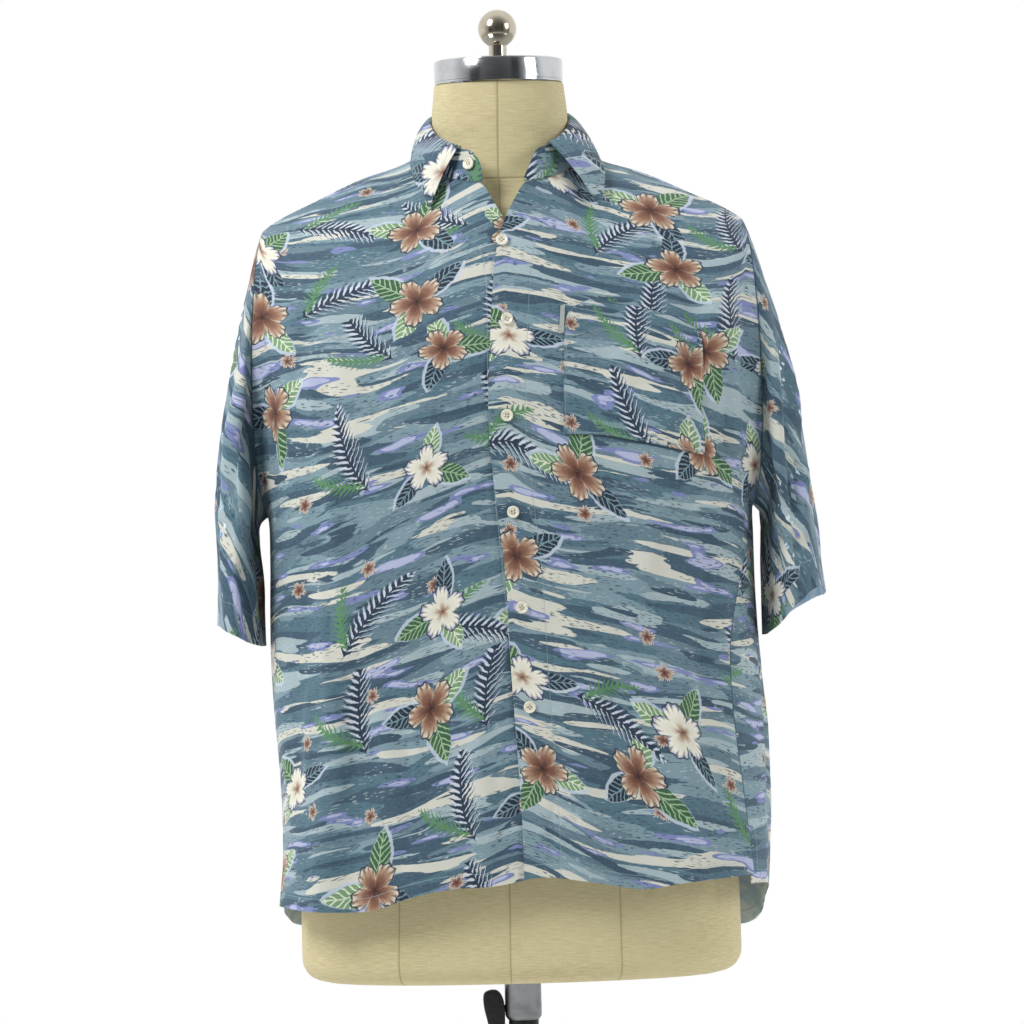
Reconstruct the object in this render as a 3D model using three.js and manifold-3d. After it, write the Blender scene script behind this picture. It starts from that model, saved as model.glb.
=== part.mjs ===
// A short-sleeved camp shirt on a limbless dress form with its stand.
// Millimetres, +Z up. The front faces -Y and +X is the wearer's left.
// The origin is the middle of the base's underside, on the floor.

import * as THREE from 'three';
import { mergeVertices } from 'three/addons/utils/BufferGeometryUtils.js';
import Module from 'manifold-3d';

const wasm = await Module();
wasm.setup();

// Driving dimensions

const CLOTH = 1.6;            // wall of one layer of cloth
const COLLAR_CLOTH = 1.8;     // interfaced collar
const SEAM_TRIM = 0.22;       // each edge stops this far short of its seam
const SLEEVE_TRIM = 0.4;      // and a sleeve's top this far, where it folds back sharply
const LAY_GAP = 0.35;         // air between a piece and what it lies on
const UNDERARM_Z = 1060;
const VENT_TOP_Z = 738;
const SEAM_ROWS = 11;         // rows from the top of the vents to the underarm
const SEAM_RISE = { vent: 22, underarm: 50 };   // the cloth's cross threads droop to the sides
const DROOP_POWER = 1.1;
const FRONT_SQUARE = 3;       // how square the body's section is, 2 is an ellipse
const BACK_SQUARE = 2.7;
const PANEL_ARCS = { neck: 95, ridge: 255, side: 345 };
const UNDERLAP_DIP = 3;       // the right front passes this far behind the left one
const UNDERLAP_EASE = 16;
const VENT_GAP = 1.5;         // each edge of a vent leaves the seam's line by this at the hem
const VENT_FLARE = { front: 6, back: 0 };

// The shirt's body, from the hem up: half widths, depths, and how far each side seam
// lies in front of the side, measured along the cloth
const BODY = [
  { z: 620, right: 236, left: 240, front: 148, back: 156, seamRight: 62, seamLeft: 92 },
  { z: 690, right: 237, left: 248, front: 151, back: 160, seamRight: 58, seamLeft: 98 },
  { z: 740, right: 235, left: 251, front: 153, back: 162, seamRight: 48, seamLeft: 104 },
  { z: 805, right: 236, left: 249, front: 154, back: 163, seamRight: 24, seamLeft: 112 },
  { z: 875, right: 241, left: 246, front: 154, back: 163, seamRight: 8, seamLeft: 118 },
  { z: 940, right: 242, left: 243, front: 155, back: 164, seamRight: 2, seamLeft: 114 },
  { z: 1000, right: 241, left: 242, front: 155, back: 165, seamRight: 0, seamLeft: 90 },
  { z: 1060, right: 240, left: 241, front: 155, back: 165, seamRight: 0, seamLeft: 46 },
  { z: 1120, right: 240, left: 241, front: 155, back: 165, seamRight: 0, seamLeft: 30 },
];

// Free front edges by height, where the placket closes, and the V above it
const FRONT_EDGE = [
  { z: 690, left: 4, right: 42 },
  { z: 760, left: 4, right: 40 },
  { z: 830, left: 1, right: 37 },
  { z: 900, left: -3, right: 34 },
  { z: 1000, left: -6, right: 28 },
  { z: 1090, left: -15, right: 21 },
  { z: 1150, left: -19, right: 18 },
  { z: 1215, left: -16, right: 18 },
  { z: 1275, left: -12, right: 19 },
  { z: 1325, left: -6, right: 15 },
  { z: 1353, left: 3, right: 0 },
  { z: 1388, left: 22.5, right: -18.5 },
];

// Hem heights along the fronts
const FRONT_HEM = [
  { x: -236, z: 680 },
  { x: -213, z: 677 },
  { x: -149, z: 677 },
  { x: -110, z: 689 },
  { x: -71, z: 698 },
  { x: -22, z: 699 },
  { x: 20, z: 707 },
  { x: 74, z: 700 },
  { x: 121, z: 692 },
  { x: 162, z: 697 },
  { x: 236, z: 702 },
];
// The back's, by distance along the cloth from its middle, round the sides to the vents
const BACK_HEM = {
  right: [
    { arc: 0, z: 642 },
    { arc: 200, z: 645 },
    { arc: 280, z: 656 },
    { arc: 335, z: 678 },
    { arc: 410, z: 686 },
  ],
  left: [
    { arc: 0, z: 642 },
    { arc: 200, z: 638 },
    { arc: 270, z: 641 },
    { arc: 315, z: 660 },
    { arc: 355, z: 684 },
    { arc: 400, z: 690 },
    { arc: 450, z: 692 },
  ],
};

// The largest folds: where each starts and ends, its half width and how far it stands out
const FOLDS = [
  { face: -1, topX: -174, topZ: 1010, endX: -200, endZ: 700, width: 17, depth: 9 },
  { face: -1, topX: -142, topZ: 1000, endX: -160, endZ: 690, width: 22, depth: -6 },
  { face: -1, topX: -60, topZ: 900, endX: -78, endZ: 690, width: 26, depth: 4 },
  { face: -1, topX: 120, topZ: 1010, endX: 112, endZ: 690, width: 30, depth: -6 },
  { face: -1, topX: 168, topZ: 1000, endX: 172, endZ: 700, width: 20, depth: 5 },
  { face: 1, topX: -118, topZ: 1150, endX: -140, endZ: 640, width: 30, depth: 9 },
  { face: 1, topX: -52, topZ: 1040, endX: -70, endZ: 640, width: 30, depth: -8 },
  { face: 1, topX: 24, topZ: 1120, endX: 20, endZ: 640, width: 34, depth: 7 },
  { face: 1, topX: 92, topZ: 1060, endX: 84, endZ: 640, width: 28, depth: -7 },
  { face: 1, topX: 150, topZ: 1130, endX: 166, endZ: 640, width: 30, depth: 9 },
];

// Neckline and shoulders
const NECK = { halfWidth: 78, front: 102, back: 84, centreY: 4, frontZ: 1388, sideZ: 1424, backZ: 1438 };
const NECK_RISE = 1.8;
const NECK_OPEN = { right: 18.5, left: 22.5 };
const SHOULDER_Y = 4;
const SHOULDER = [
  { x: 78, z: 1424 },
  { x: 100, z: 1412 },
  { x: 140, z: 1400 },
  { x: 190, z: 1377 },
  { x: 225, z: 1361 },
  { x: 240, z: 1350 },
];
const RIDGE_X = 232;

// How the cloth leaves the top edge, and the armhole's bow
const TOP_FALL = {
  front: [
    { t: 0, out: 30, down: 62 },
    { t: 0.6, out: 66, down: 45 },
    { t: 1, out: 88, down: 36 },
    { t: 1.2, out: 94, down: 28 },
    { t: 1.5, out: 98, down: 23 },
    { t: 3, out: 100, down: 20 },
  ],
  back: [
    { t: 0, out: 34, down: 36 },
    { t: 0.6, out: 60, down: 24 },
    { t: 1, out: 88, down: 17 },
    { t: 1.2, out: 98, down: 13 },
    { t: 1.5, out: 106, down: 13 },
    { t: 3, out: 104, down: 16 },
  ],
};
const CHEST_FULL = 0.46;      // how far up the chest stays full
const ARMHOLE = {
  front: { low: [262, -84, 1095], high: [250, -80, 1335] },
  back: { low: [260, 92, 1100], high: [250, 96, 1335] },
};

// Columns across a panel: 0 is the free edge or the middle, 1 the neck point,
// 2 the ridge over the shoulder's end, 3 the side seam and armhole
const NECK_STATIONS = [0, 0.08, 0.2, 0.35, 0.5, 0.63, 0.81, 1];
const SHOULDER_STATIONS = [1.1, 1.2, 1.3, 1.4, 1.5, 1.6, 1.7, 1.8, 1.9, 2];
const SIDE_STATIONS = [2.17, 2.34, 2.5, 2.67, 2.84, 3];
const BACK_NECK_STATIONS = [0, 0.2, 0.4, 0.6, 0.8, 1];
const RISE_STATIONS = [0.085, 0.165, 0.25, 0.33, 0.41, 0.5, 0.6, 0.7, 0.79, 0.87, 0.94, 1];

// Sleeves, from the armhole to the cuff: top edge, underarm edge, half depth, turn of the cuff
const SLEEVES = {
  right: [
    { s: 0, outX: 240, outZ: 1350, inX: 241, inZ: 1060, depth: 62, power: 1, lift: 0 },
    { s: 0.15, outX: 250, outZ: 1318, inX: 253, inZ: 1051, depth: 72, power: 1, lift: 0 },
    { s: 0.35, outX: 264, outZ: 1250, inX: 254, inZ: 1030, depth: 84, power: 0.95, lift: 0 },
    { s: 0.55, outX: 279, outZ: 1166, inX: 251, inZ: 1002, depth: 92, power: 0.9, lift: 0 },
    { s: 0.78, outX: 291, outZ: 1060, inX: 250, inZ: 968, depth: 97, power: 0.85, lift: 0 },
    { s: 1, outX: 294, outZ: 959, inX: 248, inZ: 936, depth: 99, power: 0.8, lift: 0 },
  ],
  left: [
    { s: 0, outX: 240, outZ: 1350, inX: 241, inZ: 1060, depth: 62, power: 1, lift: 0 },
    { s: 0.15, outX: 252, outZ: 1318, inX: 253, inZ: 1051, depth: 72, power: 1, lift: 0 },
    { s: 0.35, outX: 270, outZ: 1248, inX: 254, inZ: 1030, depth: 84, power: 0.95, lift: 0 },
    { s: 0.55, outX: 287, outZ: 1166, inX: 252, inZ: 1002, depth: 90, power: 0.9, lift: 4 },
    { s: 0.78, outX: 302, outZ: 1064, inX: 251, inZ: 966, depth: 94, power: 0.85, lift: 14 },
    { s: 1, outX: 312, outZ: 972, inX: 249, inZ: 934, depth: 96, power: 0.8, lift: 26 },
  ],
};
const SLEEVE_STATIONS = [0, 0.07, 0.16, 0.27, 0.4, 0.54, 0.68, 0.82, 0.92, 1];

// Collar
const STAND = { height: 31, lean: 7.3 };
// How each front end of the stand is cut: its length, its height at the tip, how round it is
const STAND_END = { right: { length: 18, tip: 6, round: 1.7 }, left: { length: 21, tip: 3, round: 1.1 } };
const STAND_ROWS = [0, 0.5, 1];
const STAND_STATIONS = [0, 0.03, 0.06, 0.1, 0.15, 0.2, 0.27, 0.35, 0.5, 0.63, 0.81, 1];
const LEAF = { arch: 4.2, archOut: 1.2, turnOut: 5.2, turnDrop: 1.5, bulge: 5 };
const LEAF_ROWS = [0.33, 0.67, 1];
// Where the leaf's edge lies over the fronts, seen from the front, and its distance off them,
// by neck station; the last row lies over the shoulder seam
const LEAF_EDGE = {
  right: [
    { from: 0.27, x: 68, z: 1364, off: 4 },
    { from: 0.35, x: 70, z: 1368, off: 5 },
    { from: 0.5, x: 74, z: 1377, off: 7 },
    { from: 0.63, x: 79, z: 1386, off: 7 },
    { from: 0.81, x: 86, z: 1397, off: 6 },
  ],
  left: [
    { from: 0.35, x: 96, z: 1358, off: 7 },
    { from: 0.5, x: 98.5, z: 1367, off: 10 },
    { from: 0.63, x: 100.5, z: 1377, off: 10 },
    { from: 0.81, x: 102, z: 1391, off: 8 },
  ],
};
const LEAF_SHOULDER = { right: { x: 93, rise: 5 }, left: { x: 102, rise: 5 } };
// The same across the back, in columns and heights of the back panel
const LEAF_BACK = [
  { from: 0, t: 0, v: 0.9, off: 5 },
  { from: 0.5, t: 0.5, v: 0.905, off: 5 },
  { from: 0.8, t: 0.9, v: 0.93, off: 5 },
];

// Pocket and its tab, as ranges of the left front's columns and rows
const POCKET = { from: 0.63, to: 1.8, bottom: 0.08, top: 0.42, cloth: 1.4 };
const TAB = { from: 0.575, to: 0.622, bottom: 0.345, top: 0.425, thick: 1 };

// Buttons: radius and thickness, and heights down the placket
const BUTTON = { radius: 6, thick: 2.6, rim: 1.2, sides: 18 };
const PLACKET_BUTTONS = [
  { x: -1, z: 1329 },
  { x: 2, z: 1251 },
  { x: -0.5, z: 1157 },
  { x: 3, z: 1063 },
  { x: 9, z: 970 },
  { x: 14, z: 873 },
];
const STAND_BUTTON = { station: 4, rise: 0.55 };

// Dress form: half width, depth in front and behind, squareness, from its foot to its neck
const FORM_SIDES = 40;
const FORM = [
  { z: 600, half: 196, front: 104, back: 111, square: 2.3 },
  { z: 603.5, half: 208, front: 115, back: 121, square: 2.3 },
  { z: 611, half: 216, front: 122, back: 128, square: 2.3 },
  { z: 626, half: 219.5, front: 125, back: 131, square: 2.3 },
  { z: 680, half: 219, front: 125, back: 132, square: 2.3 },
  { z: 770, half: 212, front: 121, back: 129, square: 2.3 },
  { z: 860, half: 197, front: 115, back: 118, square: 2.3 },
  { z: 950, half: 184, front: 110, back: 108, square: 2.3 },
  { z: 1050, half: 185, front: 113, back: 112, square: 2.3 },
  { z: 1130, half: 190, front: 120, back: 122, square: 2.3 },
  { z: 1210, half: 195, front: 123, back: 130, square: 2.2 },
  { z: 1275, half: 196, front: 117, back: 129, square: 2 },
  { z: 1318, half: 193, front: 107, back: 121, square: 1.85 },
  { z: 1345, half: 184, front: 95, back: 106, square: 1.75 },
  { z: 1364, half: 162, front: 83, back: 95, square: 1.75 },
  { z: 1379, half: 129, front: 73, back: 86, square: 1.85 },
  { z: 1392, half: 99, front: 67, back: 79, square: 2 },
  { z: 1405, half: 80, front: 64, back: 74, square: 2 },
  { z: 1420, half: 72, front: 62, back: 71, square: 2 },
  { z: 1438, half: 68.8, front: 60.5, back: 68, square: 2 },
  { z: 1460, half: 68.4, front: 60, back: 67, square: 2 },
  { z: 1490, half: 64.5, front: 58, back: 65, square: 2 },
];

// Neck cap, finial and stand
const CAP = { radius: 64.3, bottom: 1490.3, top: 1515, edge: 1.2, centreY: 3 };
const BALL = { radius: 19.2, centreZ: 1546.6, postRadius: 9 };
const TUBE = { outer: 18.3, inner: 15.3, bottom: 556, chamfer: 5, flange: 46, flangeThick: 3 };
const POLE = { radius: 15, bottom: 10.3, top: 870 };
const BORE = { radius: 15.6, top: 1030 };
const BASE = { radius: 190, edge: 6, rise: 12, socketOuter: 23, socketTop: 44, floor: 10 };
const LEVER = { axisZ: 567, thick: 16, bevel: 2.5, screwRadius: 3.6, holeRadius: 3.9, screwEnd: -15.35 };
const LEVER_OUTLINE = [
  { x: -26, z: 585 },
  { x: -19.2, z: 573 },
  { x: -18.9, z: 548 },
  { x: -21, z: 524 },
  { x: -25, z: 510 },
  { x: -31, z: 509 },
  { x: -33, z: 530 },
  { x: -35.5, z: 551 },
  { x: -39.5, z: 570 },
  { x: -38.5, z: 583 },
];

// Finishes

function finish(color, roughness, metalness = 0) {
  return new THREE.MeshStandardMaterial({ color, roughness, metalness });
}

const SHIRT_COLOURS = { front: 0x6f9aa8, back: 0x6993a3, sleeve: 0x6489a0, collar: 0x86adba };
const LINEN = finish(0xc9bf9d, 0.95);
const BRIGHT_STEEL = finish(0xb9bcc0, 0.28, 1);
const GREY_STEEL = finish(0x7d7f82, 0.4, 1);
const BLACK_STEEL = finish(0x16181b, 0.45, 0.6);
const BLACK_PLASTIC = finish(0x141719, 0.5);
const IVORY = finish(0xe9e6d0, 0.35);

// Small tools

const mix = THREE.MathUtils.lerp;
const clamp01 = (t) => THREE.MathUtils.clamp(t, 0, 1);
const ease = (t) => THREE.MathUtils.smoothstep(t, 0, 1);

// One column of a table at a place between its rows, on a smooth curve
function read(rows, along, column, at) {
  const last = rows.length - 1;
  const place = THREE.MathUtils.clamp(at, rows[0][along], rows[last][along]);
  let i = 0;
  while (i < last - 1 && place > rows[i + 1][along]) {
    i += 1;
  }
  const slope = (k) => {
    const before = rows[Math.max(k - 1, 0)];
    const after = rows[Math.min(k + 1, last)];
    return (after[column] - before[column]) / (after[along] - before[along]);
  };
  const [a, b] = [rows[i], rows[i + 1]];
  const step = b[along] - a[along];
  const t = (place - a[along]) / step;
  const start = (1 + 2 * t) * (1 - t) ** 2 * a[column] + t * (1 - t) ** 2 * step * slope(i);
  const end = t * t * (3 - 2 * t) * b[column] - t * t * (1 - t) * step * slope(i + 1);
  return start + end;
}

function bezier(points, t) {
  const [a, b, c, d] = points;
  const out = new THREE.Vector3();
  out.addScaledVector(a, (1 - t) ** 3);
  out.addScaledVector(b, 3 * (1 - t) ** 2 * t);
  out.addScaledVector(c, 3 * (1 - t) * t * t);
  return out.addScaledVector(d, t ** 3);
}

// Normals of a grid of points, all on the side that looks away from a centre
function gridNormals(grid, centreOf, closed) {
  const rows = grid.length;
  const columns = grid[0].length;
  const normals = [];
  let facing = 0;
  for (let j = 0; j < rows; j += 1) {
    const line = [];
    for (let i = 0; i < columns; i += 1) {
      const before = closed ? (i + columns - 1) % columns : Math.max(i - 1, 0);
      const after = closed ? (i + 1) % columns : Math.min(i + 1, columns - 1);
      const across = grid[j][after].clone().sub(grid[j][before]);
      const up = grid[Math.min(j + 1, rows - 1)][i].clone().sub(grid[Math.max(j - 1, 0)][i]);
      const normal = across.cross(up).normalize();
      facing += normal.dot(grid[j][i].clone().sub(centreOf(j)));
      line.push(normal);
    }
    normals.push(line);
  }
  if (facing < 0) {
    normals.flat().forEach((normal) => normal.negate());
  }
  return normals;
}

// Gives the grid points that meet at a seam one shared normal
function shareNormal(...normals) {
  const sum = new THREE.Vector3();
  normals.forEach((normal) => sum.add(normal));
  sum.normalize();
  normals.forEach((normal) => normal.copy(sum));
}

function meshOf(name, material, vertices, triangles) {
  let volume = 0;
  for (const [a, b, c] of triangles) {
    volume += vertices[a].clone().cross(vertices[b]).dot(vertices[c]);
  }
  const faces = volume > 0 ? triangles : triangles.map(([a, b, c]) => [a, c, b]);
  const geometry = new THREE.BufferGeometry().setFromPoints(vertices);
  geometry.setIndex(faces.flat());
  geometry.computeVertexNormals();
  const mesh = new THREE.Mesh(geometry, material);
  mesh.name = name;
  return mesh;
}

// A closed wall between two grids of points, open or joined round into a tube
function wall(name, material, outer, inner, closed = false) {
  const rows = outer.length;
  const columns = outer[0].length;
  const vertices = [...outer.flat(), ...inner.flat()];
  const out = (j, i) => j * columns + (i % columns);
  const within = (j, i) => rows * columns + out(j, i);
  const triangles = [];
  const quad = (a, b, c, d) => triangles.push([a, b, c], [a, c, d]);
  const spans = closed ? columns : columns - 1;
  for (let j = 0; j < rows - 1; j += 1) {
    for (let i = 0; i < spans; i += 1) {
      const rising = vertices[out(j, i)].distanceTo(vertices[out(j + 1, i + 1)]);
      const falling = vertices[out(j, i + 1)].distanceTo(vertices[out(j + 1, i)]);
      if (rising < falling) {
        quad(out(j, i), out(j, i + 1), out(j + 1, i + 1), out(j + 1, i));
        quad(within(j, i), within(j + 1, i), within(j + 1, i + 1), within(j, i + 1));
      } else {
        quad(out(j, i + 1), out(j + 1, i + 1), out(j + 1, i), out(j, i));
        quad(within(j, i + 1), within(j, i), within(j + 1, i), within(j + 1, i + 1));
      }
    }
  }
  for (let i = 0; i < spans; i += 1) {
    quad(out(0, i), within(0, i), within(0, i + 1), out(0, i + 1));
    quad(out(rows - 1, i), out(rows - 1, i + 1), within(rows - 1, i + 1), within(rows - 1, i));
  }
  for (let j = 0; !closed && j < rows - 1; j += 1) {
    const end = columns - 1;
    quad(out(j, 0), out(j + 1, 0), within(j + 1, 0), within(j, 0));
    quad(out(j, end), within(j, end), within(j + 1, end), out(j + 1, end));
  }
  return meshOf(name, material, vertices, triangles);
}

function insideOf(grid, normals, thickness) {
  return grid.map((line, j) => line.map((p, i) => p.clone().addScaledVector(normals[j][i], -thickness)));
}

// Moves one edge of both faces of a wall back from its seam, square to the seam
function trimEdge(outer, inner, edge, neighbour, trim = SEAM_TRIM, closed = false) {
  const last = edge.length - 1;
  const at = (k) => {
    const [j, i] = edge[closed ? (k + edge.length) % edge.length : THREE.MathUtils.clamp(k, 0, last)];
    return outer[j][i];
  };
  const moves = edge.map((_, k) => {
    const [nj, ni] = neighbour[k];
    const along = at(k + 1).clone().sub(at(k - 1)).normalize();
    const back = outer[nj][ni].clone().sub(at(k));
    return back.addScaledVector(along, -back.dot(along)).setLength(trim);
  });
  edge.forEach(([j, i], k) => {
    outer[j][i].add(moves[k]);
    inner[j][i].add(moves[k]);
  });
}

function toManifold(geometry) {
  const bare = geometry.clone();
  bare.deleteAttribute('normal');
  bare.deleteAttribute('uv');
  const merged = mergeVertices(bare, 1e-4);
  return new wasm.Manifold(new wasm.Mesh({
    numProp: 3,
    vertProperties: new Float32Array(merged.attributes.position.array),
    triVerts: new Uint32Array(merged.index.array),
  }));
}

function fromManifold(name, material, solid) {
  const cut = solid.getMesh();
  const geometry = new THREE.BufferGeometry();
  geometry.setAttribute('position', new THREE.BufferAttribute(new Float32Array(cut.vertProperties), 3));
  geometry.setIndex(new THREE.BufferAttribute(new Uint32Array(cut.triVerts), 1));
  geometry.computeVertexNormals();
  const mesh = new THREE.Mesh(geometry, material);
  mesh.name = name;
  return mesh;
}

// A turned piece standing on +Z, from pairs of radius and height
function turned(profile, sides) {
  const points = profile.map(([radius, z]) => new THREE.Vector2(radius, z));
  const geometry = new THREE.LatheGeometry(points, sides);
  geometry.rotateX(Math.PI / 2);
  return geometry;
}

// The shirt's body

const quarters = new Map();

// A quarter of the body's section, from the side to the middle of the front or back
function quarter(z, side, face) {
  const key = `${z.toFixed(3)} ${side} ${face}`;
  if (quarters.has(key)) {
    return quarters.get(key);
  }
  const steps = 120;
  const width = read(BODY, 'z', side < 0 ? 'right' : 'left', z);
  const depth = read(BODY, 'z', face < 0 ? 'front' : 'back', z);
  const power = 2 / (face < 0 ? FRONT_SQUARE : BACK_SQUARE);
  const points = [];
  const lengths = [0];
  for (let k = 0; k <= steps; k += 1) {
    const angle = (k / steps) * (Math.PI / 2);
    points.push(new THREE.Vector2(width * Math.cos(angle) ** power, depth * Math.sin(angle) ** power));
    if (k > 0) {
      lengths.push(lengths[k - 1] + points[k].distanceTo(points[k - 1]));
    }
  }
  const found = { points, lengths, length: lengths[steps], depth };
  quarters.set(key, found);
  return found;
}

// A point of the section at a distance along the cloth from the middle line
function sectionPoint(z, side, face, fromMiddle) {
  const own = quarter(z, side, face);
  if (fromMiddle < 0) {
    return new THREE.Vector3(side * fromMiddle, face * own.depth, z);
  }
  if (fromMiddle > own.length) {
    const other = quarter(z, side, -face);
    return sectionPoint(z, side, -face, other.length - (fromMiddle - own.length));
  }
  const fromSide = own.length - fromMiddle;
  let k = 1;
  while (k < own.lengths.length - 1 && own.lengths[k] < fromSide) {
    k += 1;
  }
  const t = (fromSide - own.lengths[k - 1]) / (own.lengths[k] - own.lengths[k - 1]);
  const flat = own.points[k - 1].clone().lerp(own.points[k], clamp01(t));
  return new THREE.Vector3(side * flat.x, face * flat.y, z);
}

function sectionNormal(z, side, face, fromMiddle) {
  const before = sectionPoint(z, side, face, fromMiddle - 3);
  const along = sectionPoint(z, side, face, fromMiddle + 3).sub(before);
  const normal = new THREE.Vector3(-along.y, along.x, 0).normalize();
  return normal.dot(new THREE.Vector3(before.x, before.y, 0)) < 0 ? normal.negate() : normal;
}

// Length along the cloth from the middle line to a column of a panel
function columnArc(z, side, face, t) {
  const seam = read(BODY, 'z', side < 0 ? 'seamRight' : 'seamLeft', z);
  const full = quarter(z, side, face).length + face * seam;
  const scale = full / PANEL_ARCS.side;
  const edge = face < 0 ? side * read(FRONT_EDGE, 'z', side < 0 ? 'right' : 'left', z) : 0;
  const neck = PANEL_ARCS.neck * (face < 0 ? 1 : scale);
  const stops = [edge, neck, PANEL_ARCS.ridge * scale, full];
  const k = Math.min(Math.floor(t), 2);
  return mix(stops[k], stops[k + 1], t - k);
}

// How much the folds lift the cloth at a place
function foldLift(face, x, z) {
  let lift = 0;
  for (const fold of FOLDS) {
    const run = (fold.topZ - z) / (fold.topZ - fold.endZ);
    if (fold.face === face && run > 0) {
      const middle = mix(fold.topX, fold.endX, Math.min(run, 1.1));
      lift += fold.depth * ease(Math.min(run * 2.2, 1)) * Math.exp(-(((x - middle) / fold.width) ** 2));
    }
  }
  return lift;
}

// How far the right front dips behind the left one
function underlap(x, z) {
  const past = x - read(FRONT_EDGE, 'z', 'left', z);
  const across = 1 - ease((-past - 6) / UNDERLAP_EASE);
  return UNDERLAP_DIP * across * (1 - ease((z - 1352) / 26));
}

function settle(point, side, face) {
  point.y += face * foldLift(face, point.x, point.z);
  if (face < 0 && side < 0) {
    point.y += underlap(point.x, point.z);
  }
  return point;
}

function rowHeight(t, z, rise) {
  const k = Math.min(Math.floor(t), 2);
  const stops = [0, PANEL_ARCS.neck, PANEL_ARCS.ridge, PANEL_ARCS.side];
  const share = mix(stops[k], stops[k + 1], t - k) / PANEL_ARCS.side;
  return z + rise * (1 - share ** DROOP_POWER);
}

// A row of the lower body: 0 is the hem, 1 lies between, 2 the top of the vents
function lowerPoint(side, face, t, row) {
  const up = Math.max(row - 2, 0) / (SEAM_ROWS - 1);
  const seamZ = mix(VENT_TOP_Z, UNDERARM_Z, up);
  let z = rowHeight(t, seamZ, mix(SEAM_RISE.vent, SEAM_RISE.underarm, up));
  if (row < 2) {
    const across = columnArc(690, side, face, t);
    const { x } = sectionPoint(690, side, face, across);
    const rear = BACK_HEM[side < 0 ? 'right' : 'left'];
    const hem = face < 0 ? read(FRONT_HEM, 'x', 'z', x) : read(rear, 'arc', 'z', across);
    z = mix(hem, z, row / 2);
  }
  const arc = columnArc(z, side, face, t) - (row < 2 ? VENT_GAP * (1 - row / 2) * ease((t - 2) / 1) : 0);
  const point = sectionPoint(z, side, face, arc);
  settle(point, side, face);
  if (row < 2) {
    const flare = face < 0 ? VENT_FLARE.front : VENT_FLARE.back;
    point.addScaledVector(sectionNormal(z, side, face, arc), flare * (1 - row / 2) * ease(t - 2));
  }
  return point;
}

// The edge where a panel meets the collar, and then the shoulder seam
function topPoint(side, face, t) {
  if (t <= 1) {
    const open = NECK_OPEN[side < 0 ? 'right' : 'left'] / NECK.halfWidth;
    const start = face < 0 ? Math.asin(open) : 0;
    const angle = mix(start, Math.PI / 2, t);
    const reach = face < 0 ? NECK.front : NECK.back;
    const z = mix(face < 0 ? NECK.frontZ : NECK.backZ, NECK.sideZ, t ** NECK_RISE);
    return new THREE.Vector3(
      side * NECK.halfWidth * Math.sin(angle),
      NECK.centreY + face * reach * Math.cos(angle),
      z,
    );
  }
  const tip = SHOULDER[SHOULDER.length - 1].x;
  const x = t <= 2 ? mix(NECK.halfWidth, RIDGE_X, t - 1) : mix(RIDGE_X, tip, t - 2);
  return new THREE.Vector3(side * x, SHOULDER_Y, read(SHOULDER, 'x', 'z', x));
}

const LAST_ROW = SEAM_ROWS + 1;

// A point of the upper body, from the chest row at 0 to the top edge at 1
function upperPoint(side, face, t, v) {
  const name = face < 0 ? 'front' : 'back';
  const foot = lowerPoint(side, face, t, LAST_ROW);
  const top = topPoint(side, face, t);
  const height = top.z - foot.z;
  const out = read(TOP_FALL[name], 't', 'out', t);
  const down = read(TOP_FALL[name], 't', 'down', t);
  const low = foot.clone().add(new THREE.Vector3(0, face * 5, height * CHEST_FULL));
  const high = top.clone().add(new THREE.Vector3(0, face * out, -down));
  const [lx, ly, lz] = ARMHOLE[name].low;
  const [hx, hy, hz] = ARMHOLE[name].high;
  const turn = ease(t - 2);
  low.lerp(new THREE.Vector3(side * lx, ly, lz), turn);
  high.lerp(new THREE.Vector3(side * hx, hy, hz), turn);
  const point = bezier([foot, low, high, top], v);
  if (face < 0 && t < 0.81) {
    const edge = read(FRONT_EDGE, 'z', side < 0 ? 'right' : 'left', point.z);
    const free = bezier([foot.x, low.x, high.x, top.x].map((x) => new THREE.Vector3(x, 0, 0)), v).x;
    const own = t === 0 ? 1 : (1 - t / 0.81) ** 2;
    const first = t === 0 ? free : mix(lowerPoint(side, face, 0, LAST_ROW).x, topPoint(side, face, 0).x, ease(v));
    point.x += (edge - first) * own;
  }
  if (face < 0 && side < 0 && v > 0) {
    const behind = underlap(point.x, point.z);
    const over = behind > 0 ? faceAt('left', point.x, point.z) : null;
    const ownDip = underlap(foot.x, foot.z) * ((1 - v) ** 3 + 3 * (1 - v) ** 2 * v);
    point.y += (over ? mix(0, over.point.y - (point.y - ownDip), behind / UNDERLAP_DIP) : 0) + behind - ownDip;
  }
  return point;
}

// One panel: its outer points, from the hem up to the shoulder
function panelGrid(side, face, columns) {
  const grid = [];
  for (let row = 0; row <= LAST_ROW; row += 1) {
    grid.push(columns.map((t) => lowerPoint(side, face, t, row)));
  }
  for (const v of RISE_STATIONS) {
    grid.push(columns.map((t) => upperPoint(side, face, t, v)));
  }
  return grid;
}

const FRONT_COLUMNS = [...NECK_STATIONS, ...SHOULDER_STATIONS, ...SIDE_STATIONS];
const HALF_BACK = [...BACK_NECK_STATIONS, ...SHOULDER_STATIONS, ...SIDE_STATIONS];
const bodyCentre = () => new THREE.Vector3(0, 0, 1120);

function backGrid() {
  const right = panelGrid(-1, 1, HALF_BACK.slice(1).reverse());
  const left = panelGrid(1, 1, HALF_BACK);
  return right.map((line, j) => [...line, ...left[j]]);
}

// Sleeves

// The armhole's points, from the shoulder's tip down the front and up the back
function armholeLoop(frontGrid, frontColumn, rear, rearColumn) {
  const rise = frontGrid.slice(LAST_ROW);
  const down = rise.map((line) => line[frontColumn]).reverse();
  const up = rear.slice(LAST_ROW).map((line) => line[rearColumn]);
  return [...down, ...up.slice(1, -1)].map((p) => p.clone());
}

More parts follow.
